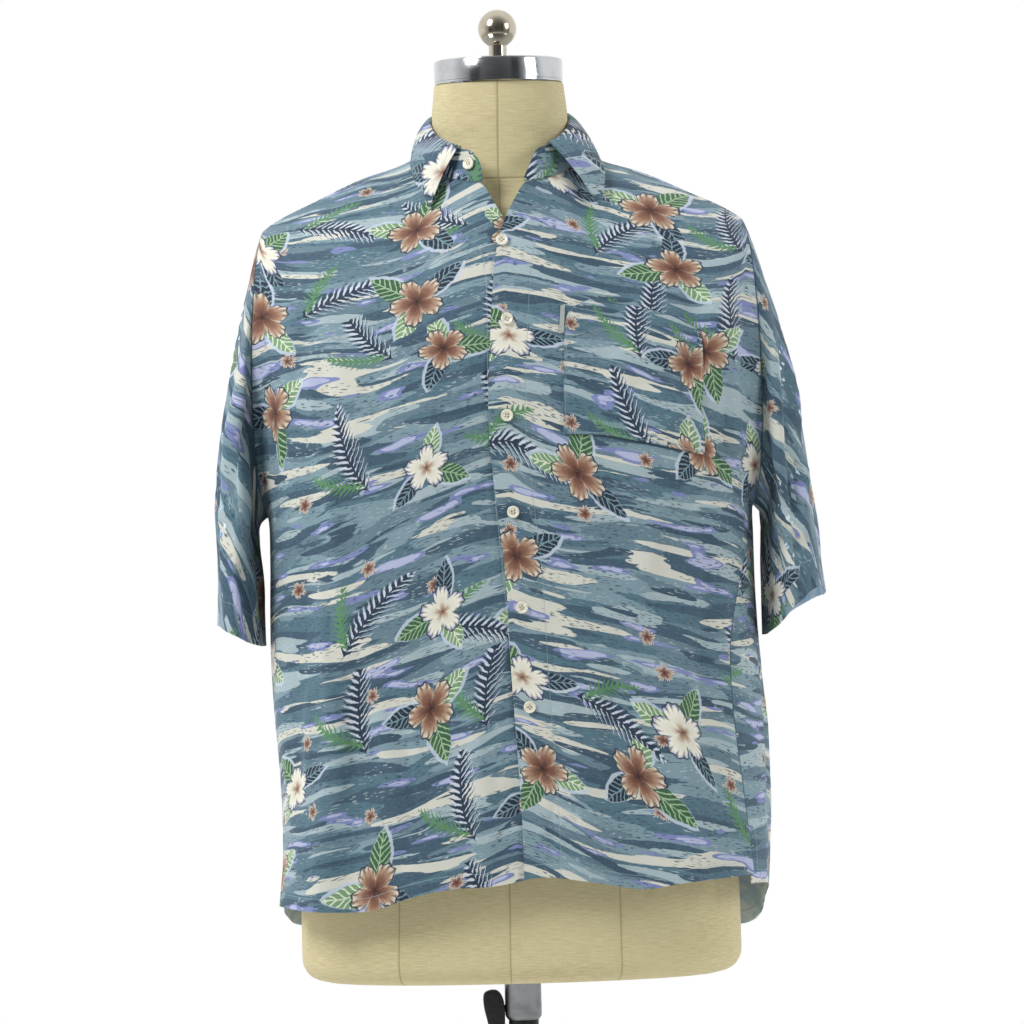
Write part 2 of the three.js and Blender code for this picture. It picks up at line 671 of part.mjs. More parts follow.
function loopAngles(loop) {
  const half = loop.length / 2;
  const angles = [];
  for (const start of [0, half]) {
    const lengths = [0];
    for (let k = 1; k <= half; k += 1) {
      const a = loop[start + k - 1];
      const b = loop[(start + k) % loop.length];
      lengths.push(lengths[k - 1] + a.distanceTo(b));
    }
    for (let k = 0; k < half; k += 1) {
      angles.push(Math.PI * (start / half + lengths[k] / lengths[half]));
    }
  }
  return angles;
}

function bend(value, power) {
  return Math.sign(value) * Math.abs(value) ** power;
}

function sleeveRing(side, table, s, angles) {
  const at = (column) => read(table, 's', column, s);
  const outer = new THREE.Vector3(side * at('outX'), 0, at('outZ'));
  const inner = new THREE.Vector3(side * at('inX'), 0, at('inZ'));
  const middle = outer.clone().lerp(inner, 0.5);
  const half = outer.clone().sub(inner).multiplyScalar(0.5);
  return angles.map((angle) => {
    const point = middle.clone().addScaledVector(half, bend(Math.cos(angle), at('power')));
    point.y = -at('depth') * bend(Math.sin(angle), at('power'));
    point.z += at('lift') * Math.max(Math.sin(angle), 0) * (0.5 + 0.5 * Math.cos(angle));
    return point;
  });
}

function sleeveGrid(side, loop) {
  const table = side < 0 ? SLEEVES.right : SLEEVES.left;
  const angles = loopAngles(loop);
  const plain = sleeveRing(side, table, 0, angles);
  return SLEEVE_STATIONS.map((s) => {
    const ring = sleeveRing(side, table, s, angles);
    return ring.map((p, k) => p.addScaledVector(loop[k].clone().sub(plain[k]), (1 - s) ** 3));
  });
}

function sleeveCentre(side, table) {
  return (j) => {
    const s = SLEEVE_STATIONS[j];
    const x = side * 0.5 * (read(table, 's', 'outX', s) + read(table, 's', 'inX', s));
    return new THREE.Vector3(x, 0, 0.5 * (read(table, 's', 'outZ', s) + read(table, 's', 'inZ', s)));
  };
}

// Body and sleeves are laid out first, so that seams share their points and normals
const grids = {};
grids.left = panelGrid(1, -1, FRONT_COLUMNS);
grids.right = panelGrid(-1, -1, FRONT_COLUMNS);
grids.back = backGrid();
const normals = {
  left: gridNormals(grids.left, bodyCentre, false),
  right: gridNormals(grids.right, bodyCentre, false),
  back: gridNormals(grids.back, bodyCentre, false),
};
const backEnd = { left: grids.back[0].length - 1, right: 0 };
const frontEnd = FRONT_COLUMNS.length - 1;
for (const [name, side] of [['left', 1], ['right', -1]]) {
  const loop = armholeLoop(grids[name], frontEnd, grids.back, backEnd[name]);
  const sleeve = `sleeve_${name}`;
  const table = SLEEVES[name];
  grids[sleeve] = sleeveGrid(side, loop);
  normals[sleeve] = gridNormals(grids[sleeve], sleeveCentre(side, table), true);
}

// Every seam: side, armhole and shoulder
function shareSeams(name) {
  const front = normals[name];
  const rear = normals.back;
  const sleeve = normals[`sleeve_${name}`][0];
  const end = backEnd[name];
  const rows = front.length;
  for (let j = 2; j < LAST_ROW; j += 1) {
    shareNormal(front[j][frontEnd], rear[j][end]);
  }
  shareNormal(front[LAST_ROW][frontEnd], rear[LAST_ROW][end]);
  const body = front[LAST_ROW][frontEnd].clone();
  shareNormal(body, sleeve[sleeve.length / 2]);
  front[LAST_ROW][frontEnd].copy(body);
  rear[LAST_ROW][end].copy(body);
  for (let k = 1; k < sleeve.length / 2; k += 1) {
    shareNormal(front[rows - 1 - k][frontEnd], sleeve[k]);
    shareNormal(rear[rows - 1 - k][end], sleeve[sleeve.length - k]);
  }
  const neckColumn = NECK_STATIONS.length - 1;
  const backNeck = BACK_NECK_STATIONS.length - 1;
  const shoulder = FRONT_COLUMNS.length - 1 - neckColumn;
  for (let k = 0; k < shoulder; k += 1) {
    const step = name === 'left' ? HALF_BACK.length - 1 + backNeck + k : HALF_BACK.length - 1 - backNeck - k;
    shareNormal(front[rows - 1][neckColumn + k], rear[rows - 1][step]);
  }
  shareNormal(front[rows - 1][frontEnd], rear[rows - 1][end], sleeve[0]);
}
shareSeams('left');
shareSeams('right');

// Both faces of a panel, cut back at its seams
function panelFaces(name) {
  const outer = grids[name].map((line) => line.map((p) => p.clone()));
  const inner = insideOf(grids[name], normals[name], CLOTH);
  const rows = outer.length;
  const ends = name === 'back' ? [0, outer[0].length - 1] : [frontEnd];
  for (const end of ends) {
    const next = end === 0 ? 1 : end - 1;
    const edge = [];
    const neighbour = [];
    for (let j = 2; j < rows; j += 1) {
      edge.push([j, end]);
      neighbour.push([j === LAST_ROW ? j - 1 : j, next]);
    }
    trimEdge(outer, inner, edge, neighbour);
  }
  const shoulderEdge = [];
  const below = [];
  const isShoulder = (i) => {
    const fromNeck = NECK_STATIONS.length - 1;
    if (name !== 'back') {
      return i >= fromNeck;
    }
    const middle = HALF_BACK.length - 1;
    return Math.abs(i - middle) >= BACK_NECK_STATIONS.length - 1;
  };
  for (let i = 0; i < outer[0].length; i += 1) {
    if (isShoulder(i)) {
      shoulderEdge.push([rows - 1, i]);
      below.push([rows - 2, i]);
    }
  }
  trimEdge(outer, inner, shoulderEdge, below);
  return { outer, inner };
}

function panel(node, name, color) {
  const { outer, inner } = panelFaces(name);
  return wall(node, finish(color, 0.85), outer, inner);
}

function sleeve(node, color) {
  const outer = grids[node].map((line) => line.map((p) => p.clone()));
  const inner = insideOf(grids[node], normals[node], CLOTH);
  const edge = outer[0].map((_, i) => [0, i]);
  trimEdge(outer, inner, edge, edge.map(([, i]) => [1, i]), SLEEVE_TRIM, true);
  return wall(node, finish(color, 0.85), outer, inner, true);
}

// Collar

// Stations round the neck: the right front's end, the back, then the left front's end
const NECK_RUN = [
  ...STAND_STATIONS.map((t) => ({ side: -1, face: -1, t })),
  ...BACK_NECK_STATIONS.slice(0, -1).reverse().map((t) => ({ side: -1, face: 1, t })),
  ...BACK_NECK_STATIONS.slice(1, -1).map((t) => ({ side: 1, face: 1, t })),
  ...[...STAND_STATIONS].reverse().map((t) => ({ side: 1, face: -1, t })),
];

function awayFromNeck(point) {
  const out = new THREE.Vector3(point.x / NECK.halfWidth ** 2, (point.y - NECK.centreY) / NECK.front ** 2, 0);
  return out.normalize();
}

// The stand's height falls to a round end at each front
function standHeight(index) {
  const seam = NECK_RUN.map(({ side, face, t }) => topPoint(side, face, t));
  let fromEnd = 0;
  const step = index < NECK_RUN.length / 2 ? -1 : 1;
  const end = step < 0 ? 0 : NECK_RUN.length - 1;
  for (let k = index; k !== end; k += step) {
    fromEnd += seam[k].distanceTo(seam[k + step]);
  }
  const { length, tip, round } = STAND_END[step < 0 ? 'right' : 'left'];
  const short = 1 - Math.min(fromEnd / length, 1);
  return tip + (STAND.height - tip) * (1 - short ** round) ** (1 / round);
}

function standPoint(index, rise) {
  const { side, face, t } = NECK_RUN[index];
  const foot = topPoint(side, face, t);
  const height = standHeight(index);
  const out = awayFromNeck(foot);
  const point = foot.clone().addScaledVector(out, (-STAND.lean * rise * height) / STAND.height);
  point.z += LAY_GAP + rise * height;
  return point;
}

function standFaces() {
  const outer = STAND_ROWS.map((rise) => NECK_RUN.map((_, index) => standPoint(index, rise)));
  const inner = outer.map((line) => line.map((p) => p.clone().addScaledVector(awayFromNeck(p), -CLOTH)));
  return { outer, inner };
}

function collarStand() {
  const { outer, inner } = standFaces();
  return wall('collar_stand', finish(SHIRT_COLOURS.collar, 0.85), outer, inner);
}

// A point just above the shirt, for the leaf's free edge
function aboveBack(side, t, v, off) {
  const step = 0.02;
  const at = (a, b) => upperPoint(side, 1, a, b);
  const across = at(t + step, v).sub(at(Math.max(t - step, 0), v));
  const normal = across.cross(at(t, v).sub(at(t, v - step))).normalize();
  return at(t, v).addScaledVector(normal.z < 0 ? normal.negate() : normal, off);
}

function leafEdge({ side, face, t }) {
  const name = side < 0 ? 'right' : 'left';
  const { x, rise } = LEAF_SHOULDER[name];
  const crest = new THREE.Vector3(side * x, SHOULDER_Y, read(SHOULDER, 'x', 'z', x) + rise);
  if (face > 0) {
    const last = LEAF_BACK[LEAF_BACK.length - 1];
    const at = (column) => read(LEAF_BACK, 'from', column, Math.min(t, last.from));
    const point = aboveBack(side, at('t'), at('v'), at('off'));
    return t > last.from ? point.lerp(crest, (t - last.from) / (1 - last.from)) : point;
  }
  const rows = LEAF_EDGE[name];
  const last = rows[rows.length - 1];
  const at = (column) => read(rows, 'from', column, Math.min(t, last.from));
  const spot = faceAt(name, side * at('x'), at('z'));
  const point = spot.point.addScaledVector(spot.normal, at('off'));
  return t > last.from ? point.lerp(crest, (t - last.from) / (1 - last.from)) : point;
}

function collarLeaf() {
  const start = STAND_STATIONS.indexOf(LEAF_EDGE.right[0].from);
  const end = NECK_RUN.length - 1 - STAND_STATIONS.indexOf(LEAF_EDGE.left[0].from);
  const outer = [];
  for (let index = start; index <= end; index += 1) {
    const top = standPoint(index, 1);
    const out = awayFromNeck(top);
    const place = (away, up) => top.clone().addScaledVector(out, away).setZ(top.z + up);
    const inside = place(-CLOTH, LAY_GAP);
    const apex = place(LEAF.archOut - 1.2, LEAF.arch);
    const turn = place(LEAF.turnOut, LEAF.turnDrop);
    const edge = leafEdge(NECK_RUN[index]);
    const fall = LEAF_ROWS.map((share) => {
      const point = turn.clone().lerp(edge, share);
      return point.addScaledVector(out, LEAF.bulge * Math.sin(Math.PI * share) * (1 - 0.4 * share));
    });
    outer.push([inside, apex, turn, ...fall]);
  }
  const rows = outer[0].map((_, j) => outer.map((line) => line[j]));
  const leafNormals = gridNormals(rows, () => new THREE.Vector3(0, 0, 1400), false);
  const inner = insideOf(rows, leafNormals, COLLAR_CLOTH);
  inner[0] = rows[0].map((p) => p.clone().addScaledVector(awayFromNeck(p), CLOTH));
  return wall('collar_leaf', finish(SHIRT_COLOURS.collar, 0.85), rows, inner);
}

// Pocket, tab and buttons

function pocket() {
  const columns = FRONT_COLUMNS.map((t, i) => ({ t, i })).filter(({ t }) => t >= POCKET.from && t <= POCKET.to);
  const stations = [0, ...RISE_STATIONS].map((v, k) => ({ v, j: LAST_ROW + k }));
  const rows = stations.filter(({ v }) => v >= POCKET.bottom && v <= POCKET.top);
  const lift = (away) => rows.map(({ j }) => columns.map(({ i }) => (
    grids.left[j][i].clone().addScaledVector(normals.left[j][i], away)
  )));
  return wall('pocket', finish(SHIRT_COLOURS.front, 0.85), lift(LAY_GAP + POCKET.cloth), lift(LAY_GAP));
}

function pocketTab() {
  const lift = (away) => [TAB.bottom, TAB.top].map((v) => [TAB.from, TAB.to].map((t) => (
    aboveFront(t, v, away)
  )));
  return wall('pocket_label', finish(0xe6e2d6, 0.9), lift(LAY_GAP + TAB.thick), lift(LAY_GAP));
}

function frontNormal(t, v) {
  const step = 0.03;
  const across = upperPoint(1, -1, t + step, v).sub(upperPoint(1, -1, Math.max(t - step, 0), v));
  const up = upperPoint(1, -1, t, v + step).sub(upperPoint(1, -1, t, v - step));
  return across.cross(up).normalize();
}

function aboveFront(t, v, away) {
  return upperPoint(1, -1, t, v).addScaledVector(frontNormal(t, v), away);
}

function buttonGeometry() {
  const { radius, thick, rim } = BUTTON;
  return turned([
    [0, 0],
    [radius - 0.8, 0],
    [radius, 0.8],
    [radius, thick - 0.8],
    [radius - 0.9, thick],
    [radius - rim - 0.9, thick],
    [radius - rim - 1.6, thick - 0.9],
    [0, thick - 0.9],
  ], BUTTON.sides);
}

// A button laid on cloth, its back facing along -normal
function button(name, point, normal) {
  const geometry = buttonGeometry();
  const turn = new THREE.Quaternion().setFromUnitVectors(new THREE.Vector3(0, 0, 1), normal);
  const mesh = new THREE.Mesh(geometry, IVORY);
  mesh.name = name;
  mesh.quaternion.copy(turn);
  mesh.position.copy(point);
  return mesh;
}

// The point of a front seen at a place from the front, as its facets lie there
function faceAt(name, x, z) {
  const grid = grids[name];
  const vectors = [];
  for (let j = 0; j < grid.length - 1; j += 1) {
    for (let i = 0; i < grid[0].length - 1; i += 1) {
      const corners = [grid[j][i], grid[j][i + 1], grid[j + 1][i + 1], grid[j + 1][i]];
      for (const [a, b, c] of [[0, 1, 2], [0, 2, 3]]) {
        vectors.push(new THREE.Triangle(corners[a], corners[b], corners[c]));
      }
    }
  }
  const ray = new THREE.Ray(new THREE.Vector3(x, -400, z), new THREE.Vector3(0, 1, 0));
  const hit = new THREE.Vector3();
  for (const face of vectors) {
    if (ray.intersectTriangle(face.a, face.b, face.c, false, hit)) {
      const normal = face.getNormal(new THREE.Vector3());
      return { point: hit.clone(), normal: normal.y > 0 ? normal.negate() : normal };
    }
  }
  return null;
}

function placketButton(index) {
  const { x, z } = PLACKET_BUTTONS[index];
  const reach = BUTTON.radius * 0.7;
  const spots = [[0, 0], [reach, 0], [0, reach], [0, -reach]].map(([dx, dz]) => faceAt('left', x + dx, z + dz));
  const normal = new THREE.Vector3();
  spots.forEach((spot) => normal.add(spot.normal));
  normal.normalize();
  const centre = spots[0].point;
  const lift = Math.max(...spots.map((spot) => spot.point.clone().sub(centre).dot(normal)));
  const point = centre.clone().addScaledVector(normal, lift + LAY_GAP + 0.15);
  return button(`button_${index + 2}`, point, normal);
}

function standButton() {
  const { outer } = standFaces();
  const { station, rise } = STAND_BUTTON;
  const across = outer[0][station + 1].clone().sub(outer[0][station - 1]);
  const up = outer[2][station].clone().sub(outer[0][station]);
  const point = outer[0][station].clone().addScaledVector(up, rise);
  const normal = across.cross(up).normalize();
  if (normal.y > 0) {
    normal.negate();
  }
  return button('button_1', point.addScaledVector(normal, LAY_GAP + 0.3), normal);
}

// Dress form and stand

function formBody() {
  const vertices = [];
  const triangles = [];
  FORM.forEach((row) => {
    const power = 2 / row.square;
    for (let k = 0; k < FORM_SIDES; k += 1) {
      const angle = (k / FORM_SIDES) * 2 * Math.PI;
      const depth = Math.sin(angle) < 0 ? row.front : row.back;
      vertices.push(new THREE.Vector3(
        row.half * bend(Math.cos(angle), power),
        depth * bend(Math.sin(angle), power),
        row.z,
      ));
    }
  });
  const at = (j, k) => j * FORM_SIDES + (k % FORM_SIDES);
  for (let j = 0; j < FORM.length - 1; j += 1) {
    for (let k = 0; k < FORM_SIDES; k += 1) {
      triangles.push([at(j, k), at(j, k + 1), at(j + 1, k + 1)], [at(j, k), at(j + 1, k + 1), at(j + 1, k)]);
    }
  }
  for (const [j, z] of [[0, FORM[0].z], [FORM.length - 1, FORM[FORM.length - 1].z]]) {
    const centre = vertices.push(new THREE.Vector3(0, 0, z)) - 1;
    for (let k = 0; k < FORM_SIDES; k += 1) {
      triangles.push(j === 0 ? [centre, at(j, k + 1), at(j, k)] : [centre, at(j, k), at(j, k + 1)]);
    }
  }
  const torso = toManifold(meshOf('torso', LINEN, vertices, triangles).geometry);
  const bore = turned([[0, FORM[0].z - 20], [BORE.radius, FORM[0].z - 20], [BORE.radius, BORE.top], [0, BORE.top]], 24);
  return fromManifold('form_body', LINEN, torso.subtract(toManifold(bore)));
}

function turnedMesh(name, material, profile, sides, y = 0) {
  const mesh = new THREE.Mesh(turned(profile, sides), material);
  mesh.name = name;
  mesh.position.y = y;
  return mesh;
}

function neckCap() {
  const { radius, bottom, top, edge, centreY } = CAP;
  return turnedMesh('neck_cap', BRIGHT_STEEL, [
    [0, bottom],
    [radius - edge, bottom],
    [radius, bottom + edge],
    [radius, top - edge],
    [radius - edge, top],
    [0, top],
  ], 48, centreY);
}

function finial() {
  const foot = CAP.top + LAY_GAP;
  const profile = [[0, foot], [BALL.postRadius, foot]];
  const meet = Math.asin(BALL.postRadius / BALL.radius);
  const steps = 14;
  for (let k = 0; k <= steps; k += 1) {
    const angle = mix(Math.PI - meet, 0, k / steps);
    const radius = k === steps ? 0 : BALL.radius * Math.sin(angle);
    profile.push([radius, BALL.centreZ + BALL.radius * Math.cos(angle)]);
  }
  return turnedMesh('finial', BRIGHT_STEEL, profile, 28, CAP.centreY);
}

function standSleeve() {
  const { outer, inner, bottom, chamfer, flange, flangeThick } = TUBE;
  const top = FORM[0].z - LAY_GAP;
  const tube = turned([
    [inner, bottom],
    [outer - 2.5, bottom],
    [outer, bottom + chamfer],
    [outer, top - flangeThick],
    [flange, top - flangeThick],
    [flange, top],
    [inner, top],
    [inner, bottom],
  ], 36);
  const hole = new THREE.CylinderGeometry(LEVER.holeRadius, LEVER.holeRadius, 12, 16);
  hole.rotateZ(Math.PI / 2);
  hole.translate(-(outer + inner) / 2, 0, LEVER.axisZ);
  return fromManifold('stand_sleeve', GREY_STEEL, toManifold(tube).subtract(toManifold(hole)));
}

function clampLever() {
  const outline = new THREE.Shape(LEVER_OUTLINE.map(({ x, z }) => new THREE.Vector2(x, z)));
  const { thick, bevel, screwRadius, screwEnd, axisZ } = LEVER;
  const grip = new THREE.ExtrudeGeometry(outline, {
    depth: thick - 2 * bevel,
    bevelEnabled: true,
    bevelSize: 0,
    bevelOffset: -0.01,
    bevelThickness: bevel,
    bevelSegments: 2,
  });
  grip.translate(0, 0, -(thick - 2 * bevel) / 2);
  grip.rotateX(Math.PI / 2);
  const length = 12;
  const screw = new THREE.CylinderGeometry(screwRadius, screwRadius, length, 16);
  screw.rotateZ(Math.PI / 2);
  screw.translate(screwEnd - length / 2, 0, axisZ);
  return fromManifold('clamp_lever', BLACK_PLASTIC, toManifold(grip).add(toManifold(screw)));
}

function pole() {
  return turnedMesh('pole', BLACK_STEEL, [
    [0, POLE.bottom],
    [POLE.radius, POLE.bottom],
    [POLE.radius, POLE.top],
    [0, POLE.top],
  ], 24);
}

function base() {
  const { radius, edge, rise, socketOuter, socketTop, floor } = BASE;
  return turnedMesh('base', BLACK_STEEL, [
    [0, 0],
    [radius - 1.5, 0],
    [radius, 1.5],
    [radius, edge - 1.5],
    [radius - 2, edge],
    [socketOuter + 30, rise - 2],
    [socketOuter + 4, rise],
    [socketOuter, rise + 4],
    [socketOuter, socketTop - 1.5],
    [socketOuter - 1.5, socketTop],
    [POLE.radius + 0.3, socketTop],
    [POLE.radius + 0.3, floor],
    [0, floor],
  ], 56);
}

const shirt = new THREE.Group();
shirt.add(panel('front_left', 'left', SHIRT_COLOURS.front));
shirt.add(panel('front_right', 'right', SHIRT_COLOURS.front));
shirt.add(panel('back', 'back', SHIRT_COLOURS.back));
shirt.add(sleeve('sleeve_left', SHIRT_COLOURS.sleeve));
shirt.add(sleeve('sleeve_right', SHIRT_COLOURS.sleeve));
shirt.add(collarStand());
shirt.add(collarLeaf());
shirt.add(pocket());
shirt.add(pocketTab());
shirt.add(standButton());
PLACKET_BUTTONS.forEach((_, index) => shirt.add(placketButton(index)));

const dressForm = new THREE.Group();
dressForm.add(formBody(), neckCap(), finial());
dressForm.add(standSleeve(), clampLever(), pole(), base());

const part = new THREE.Group();
part.add(shirt, dressForm);

export default part;
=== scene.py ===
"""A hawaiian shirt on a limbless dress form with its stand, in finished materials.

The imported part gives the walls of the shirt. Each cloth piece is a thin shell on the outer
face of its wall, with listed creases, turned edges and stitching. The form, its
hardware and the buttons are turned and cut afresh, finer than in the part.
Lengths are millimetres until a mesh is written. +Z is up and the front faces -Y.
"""

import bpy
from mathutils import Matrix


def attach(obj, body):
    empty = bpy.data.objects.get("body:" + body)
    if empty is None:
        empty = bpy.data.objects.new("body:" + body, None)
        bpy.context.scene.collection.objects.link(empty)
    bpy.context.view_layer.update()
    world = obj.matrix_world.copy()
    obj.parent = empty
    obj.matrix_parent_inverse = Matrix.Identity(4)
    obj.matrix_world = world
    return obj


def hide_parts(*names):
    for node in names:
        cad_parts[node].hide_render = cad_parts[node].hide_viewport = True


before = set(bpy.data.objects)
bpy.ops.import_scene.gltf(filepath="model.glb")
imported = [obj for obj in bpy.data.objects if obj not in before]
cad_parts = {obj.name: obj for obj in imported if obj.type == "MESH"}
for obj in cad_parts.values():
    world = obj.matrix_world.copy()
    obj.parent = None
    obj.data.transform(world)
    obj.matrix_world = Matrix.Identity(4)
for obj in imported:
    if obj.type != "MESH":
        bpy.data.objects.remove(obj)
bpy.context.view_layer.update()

import logging
import math
from dataclasses import dataclass
from enum import Enum
from typing import Callable, Optional, Sequence, Union

import bmesh
import bpy
import numpy as np
from mathutils import Matrix, Vector

LOG = logging.getLogger("shirt")
MM = 0.001
FAR = 900.0                    # a distance in mm that no stitch line reaches
SEED = 20
FULL_TURN = 2 * math.pi
CREASE_STRENGTH = 1.8          # by how much the creases' own depths are raised
RIPPLE_SPACING = 42.0          # mm between the cloth's slight ripples
LAST_BUTTON = 7


class Slot(Enum):
    """Material slots."""

    PRINT = "print_cloth"
    LABEL = "label_cloth"
    IVORY = "ivory_button"
    LINEN = "linen"
    BRIGHT_STEEL = "bright_steel"
    GREY_STEEL = "grey_steel"
    PLASTIC = "black_plastic"
    BLACK_STEEL = "black_steel"


# Colours and shader building


def linear(colour: str) -> tuple[float, float, float, float]:
    """Turns a screen colour into the linear one that a shader takes.

    Args:
        colour: sRGB as "#rrggbb".

    Returns:
        Linear red, green, blue and an alpha of 1.
    """
    parts = [int(colour[i:i + 2], 16) / 255 for i in (1, 3, 5)]
    flat = [c / 12.92 if c <= 0.04045 else ((c + 0.055) / 1.055) ** 2.4 for c in parts]
    return (*flat, 1.0)


def add_node(
    tree: bpy.types.NodeTree, kind: str, inputs: Optional[dict] = None, **settings
) -> bpy.types.Node:
    """Adds a shader node, sets it up and feeds it.

    Args:
        tree: the material's or world's node tree.
        kind: the node's type name.
        inputs: values or signals by socket name or number.
        settings: attributes of the node.

    Returns:
        The new node.
    """
    node = tree.nodes.new(kind)
    for name, value in settings.items():
        setattr(node, name, value)
    for key, value in (inputs or {}).items():
        if isinstance(value, Signal):
            tree.links.new(value.socket, node.inputs[key])
        else:
            node.inputs[key].default_value = value
    return node


class Signal:
    """A value that flows through a material. Arithmetic on it adds math nodes."""

    def __init__(self, tree: bpy.types.NodeTree, socket: bpy.types.NodeSocket) -> None:
        """Holds an output socket and the tree it is in.

        Args:
            tree: the node tree.
            socket: the output that carries the value.
        """
        self.tree = tree
        self.socket = socket

    def _math(self, operation: str, *values: Union["Signal", float]) -> "Signal":
        """Adds one math node.

        Args:
            operation: the node's operation.
            values: its inputs in order.

        Returns:
            The result.
        """
        node = add_node(self.tree, "ShaderNodeMath", dict(enumerate(values)), operation=operation)
        return Signal(self.tree, node.outputs[0])

    def __add__(self, other: Union["Signal", float]) -> "Signal":
        """Sum of two values. Returns: the sum."""
        return self._math("ADD", self, other)

    def __radd__(self, other: float) -> "Signal":
        """Sum with a number first. Returns: the sum."""
        return self._math("ADD", other, self)

    def __sub__(self, other: Union["Signal", float]) -> "Signal":
        """Difference of two values. Returns: the difference."""
        return self._math("SUBTRACT", self, other)

    def __rsub__(self, other: float) -> "Signal":
        """A number less this value. Returns: the difference."""
        return self._math("SUBTRACT", other, self)

    def __mul__(self, other: Union["Signal", float]) -> "Signal":
        """Product of two values. Returns: the product."""
        return self._math("MULTIPLY", self, other)

    def __truediv__(self, other: Union["Signal", float]) -> "Signal":
        """Quotient of two values. Returns: the quotient."""
        return self._math("DIVIDE", self, other)

    def __pow__(self, other: float) -> "Signal":
        """This value to a power. Returns: the power."""
        return self._math("POWER", self, other)

    def __abs__(self) -> "Signal":
        """Size of the value without its sign. Returns: the size."""
        return self._math("ABSOLUTE", self)

    def sin(self) -> "Signal":
        """Sine of the value in radians. Returns: the sine."""
        return self._math("SINE", self)

    def cos(self) -> "Signal":
        """Cosine of the value in radians. Returns: the cosine."""
        return self._math("COSINE", self)

    def fraction(self) -> "Signal":
        """What is left of the value above a whole number. Returns: 0 to 1."""
        return self._math("FRACT", self)

    def most(self, other: Union["Signal", float]) -> "Signal":
        """The larger of two values. Returns: the larger."""
        return self._math("MAXIMUM", self, other)

    def least(self, other: Union["Signal", float]) -> "Signal":
        """The smaller of two values. Returns: the smaller."""
        return self._math("MINIMUM", self, other)

    def length(self, other: "Signal") -> "Signal":
        """Length of the vector of two values. Returns: the length."""
        squares = self * self + other * other
        return squares._math("SQRT", squares)

    def angle(self, other: "Signal") -> "Signal":
        """Angle of the vector with this value across and the other up. Returns: radians."""
        return self._math("ARCTAN2", other, self)

    def rise(self, low: float, high: float) -> "Signal":
        """A soft step between two levels.

        Args:
            low: the level where the result leaves 0.
            high: the level where it reaches 1.

        Returns:
            0 to 1.
        """
        node = add_node(
            self.tree,
            "ShaderNodeMapRange",
            {"Value": self, "From Min": low, "From Max": high},
            interpolation_type="SMOOTHSTEP",
        )
        return Signal(self.tree, node.outputs[0])

    def near(self, level: float, width: float) -> "Signal":
        """A soft line where the value is close to a level.

        Args:
            level: the line's middle.
            width: the line's half width.

        Returns:
            1 on the line, 0 off it.
        """
        return 1 - abs(self - level).rise(width * 0.5, width * 1.2)


def split(vector: Signal) -> tuple[Signal, Signal, Signal]:
    """Takes a vector apart.

    Args:
        vector: a vector or colour signal.

    Returns:
        Its three parts.
    """
    node = add_node(vector.tree, "ShaderNodeSeparateXYZ", {0: vector})
    return tuple(Signal(vector.tree, out) for out in node.outputs)


def join(x: Union[Signal, float], y: Union[Signal, float], z: Union[Signal, float] = 0.0) -> Signal:
    """Makes a vector.

    Args:
        x: first part, which is a signal.
        y: second part.
        z: third part.

    Returns:
        The vector.
    """
    node = add_node(x.tree, "ShaderNodeCombineXYZ", {0: x, 1: y, 2: z})
    return Signal(x.tree, node.outputs[0])


def noise(vector: Signal, detail: float = 2.0, roughness: float = 0.5) -> Signal:
    """Cloudy noise.

    Args:
        vector: the place, with cells about one unit wide.
        detail: how many finer layers it has.
        roughness: how strong they are.

    Returns:
        About 0.25 to 0.75, mostly near 0.5.
    """
    inputs = {"Vector": vector, "Scale": 1.0, "Detail": detail, "Roughness": roughness}
    node = add_node(vector.tree, "ShaderNodeTexNoise", inputs)
    return Signal(vector.tree, node.outputs[0])


def blend(low: Union[Signal, str], high: Union[Signal, str], share: Signal) -> Signal:
    """Mixes two colours.

    Args:
        low: the colour at 0, a signal or "#rrggbb".
        high: the colour at 1.
        share: how much of the second.

    Returns:
        The mixed colour.
    """
    low, high = (linear(c) if isinstance(c, str) else c for c in (low, high))
    node = add_node(share.tree, "ShaderNodeMix", {0: share, 6: low, 7: high}, data_type="RGBA")
    return Signal(share.tree, node.outputs[2])


def ramp(value: Signal, stops: Sequence[tuple[float, str]]) -> Signal:
    """Colours by level, which run into each other.

    Args:
        value: 0 to 1.
        stops: where each colour is full.

    Returns:
        The colour.
    """
    node = add_node(value.tree, "ShaderNodeValToRGB", {0: value})
    elements = node.color_ramp.elements
    while len(elements) > 1:
        elements.remove(elements[-1])
    elements[0].position = stops[0][0]
    elements[0].color = linear(stops[0][1])
    for place, colour in stops[1:]:
        elements.new(place).color = linear(colour)
    return Signal(value.tree, node.outputs[0])


def attribute(tree: bpy.types.NodeTree, name: str) -> Signal:
    """Reads a vector that the mesh carries.

    Args:
        tree: the material's tree.
        name: the attribute's name.

    Returns:
        The vector.
    """
    node = add_node(tree, "ShaderNodeAttribute", attribute_name=name)
    return Signal(tree, node.outputs["Vector"])


def object_place(tree: bpy.types.NodeTree) -> Signal:
    """Place in the object's own frame.

    Args:
        tree: the material's tree.

    Returns:
        The place in millimetres.
    """
    node = add_node(tree, "ShaderNodeTexCoord")
    metres = Signal(tree, node.outputs["Object"])
    scaled = add_node(tree, "ShaderNodeVectorMath", {0: metres, 3: 1 / MM}, operation="SCALE")
    return Signal(tree, scaled.outputs[0])


# The print: water in brush strokes with blossoms, leaves and fronds scattered on it


def turned(x: Signal, y: Signal, angle: Union[Signal, float]) -> tuple[Signal, Signal]:
    """Turns a place in the cloth's plane.

    Args:
        x: across.
        y: up.
        angle: radians.

    Returns:
        The turned place.
    """
    if isinstance(angle, Signal):
        c, s = angle.cos(), angle.sin()
    else:
        c, s = math.cos(angle), math.sin(angle)
    return x * c + y * s, y * c - x * s


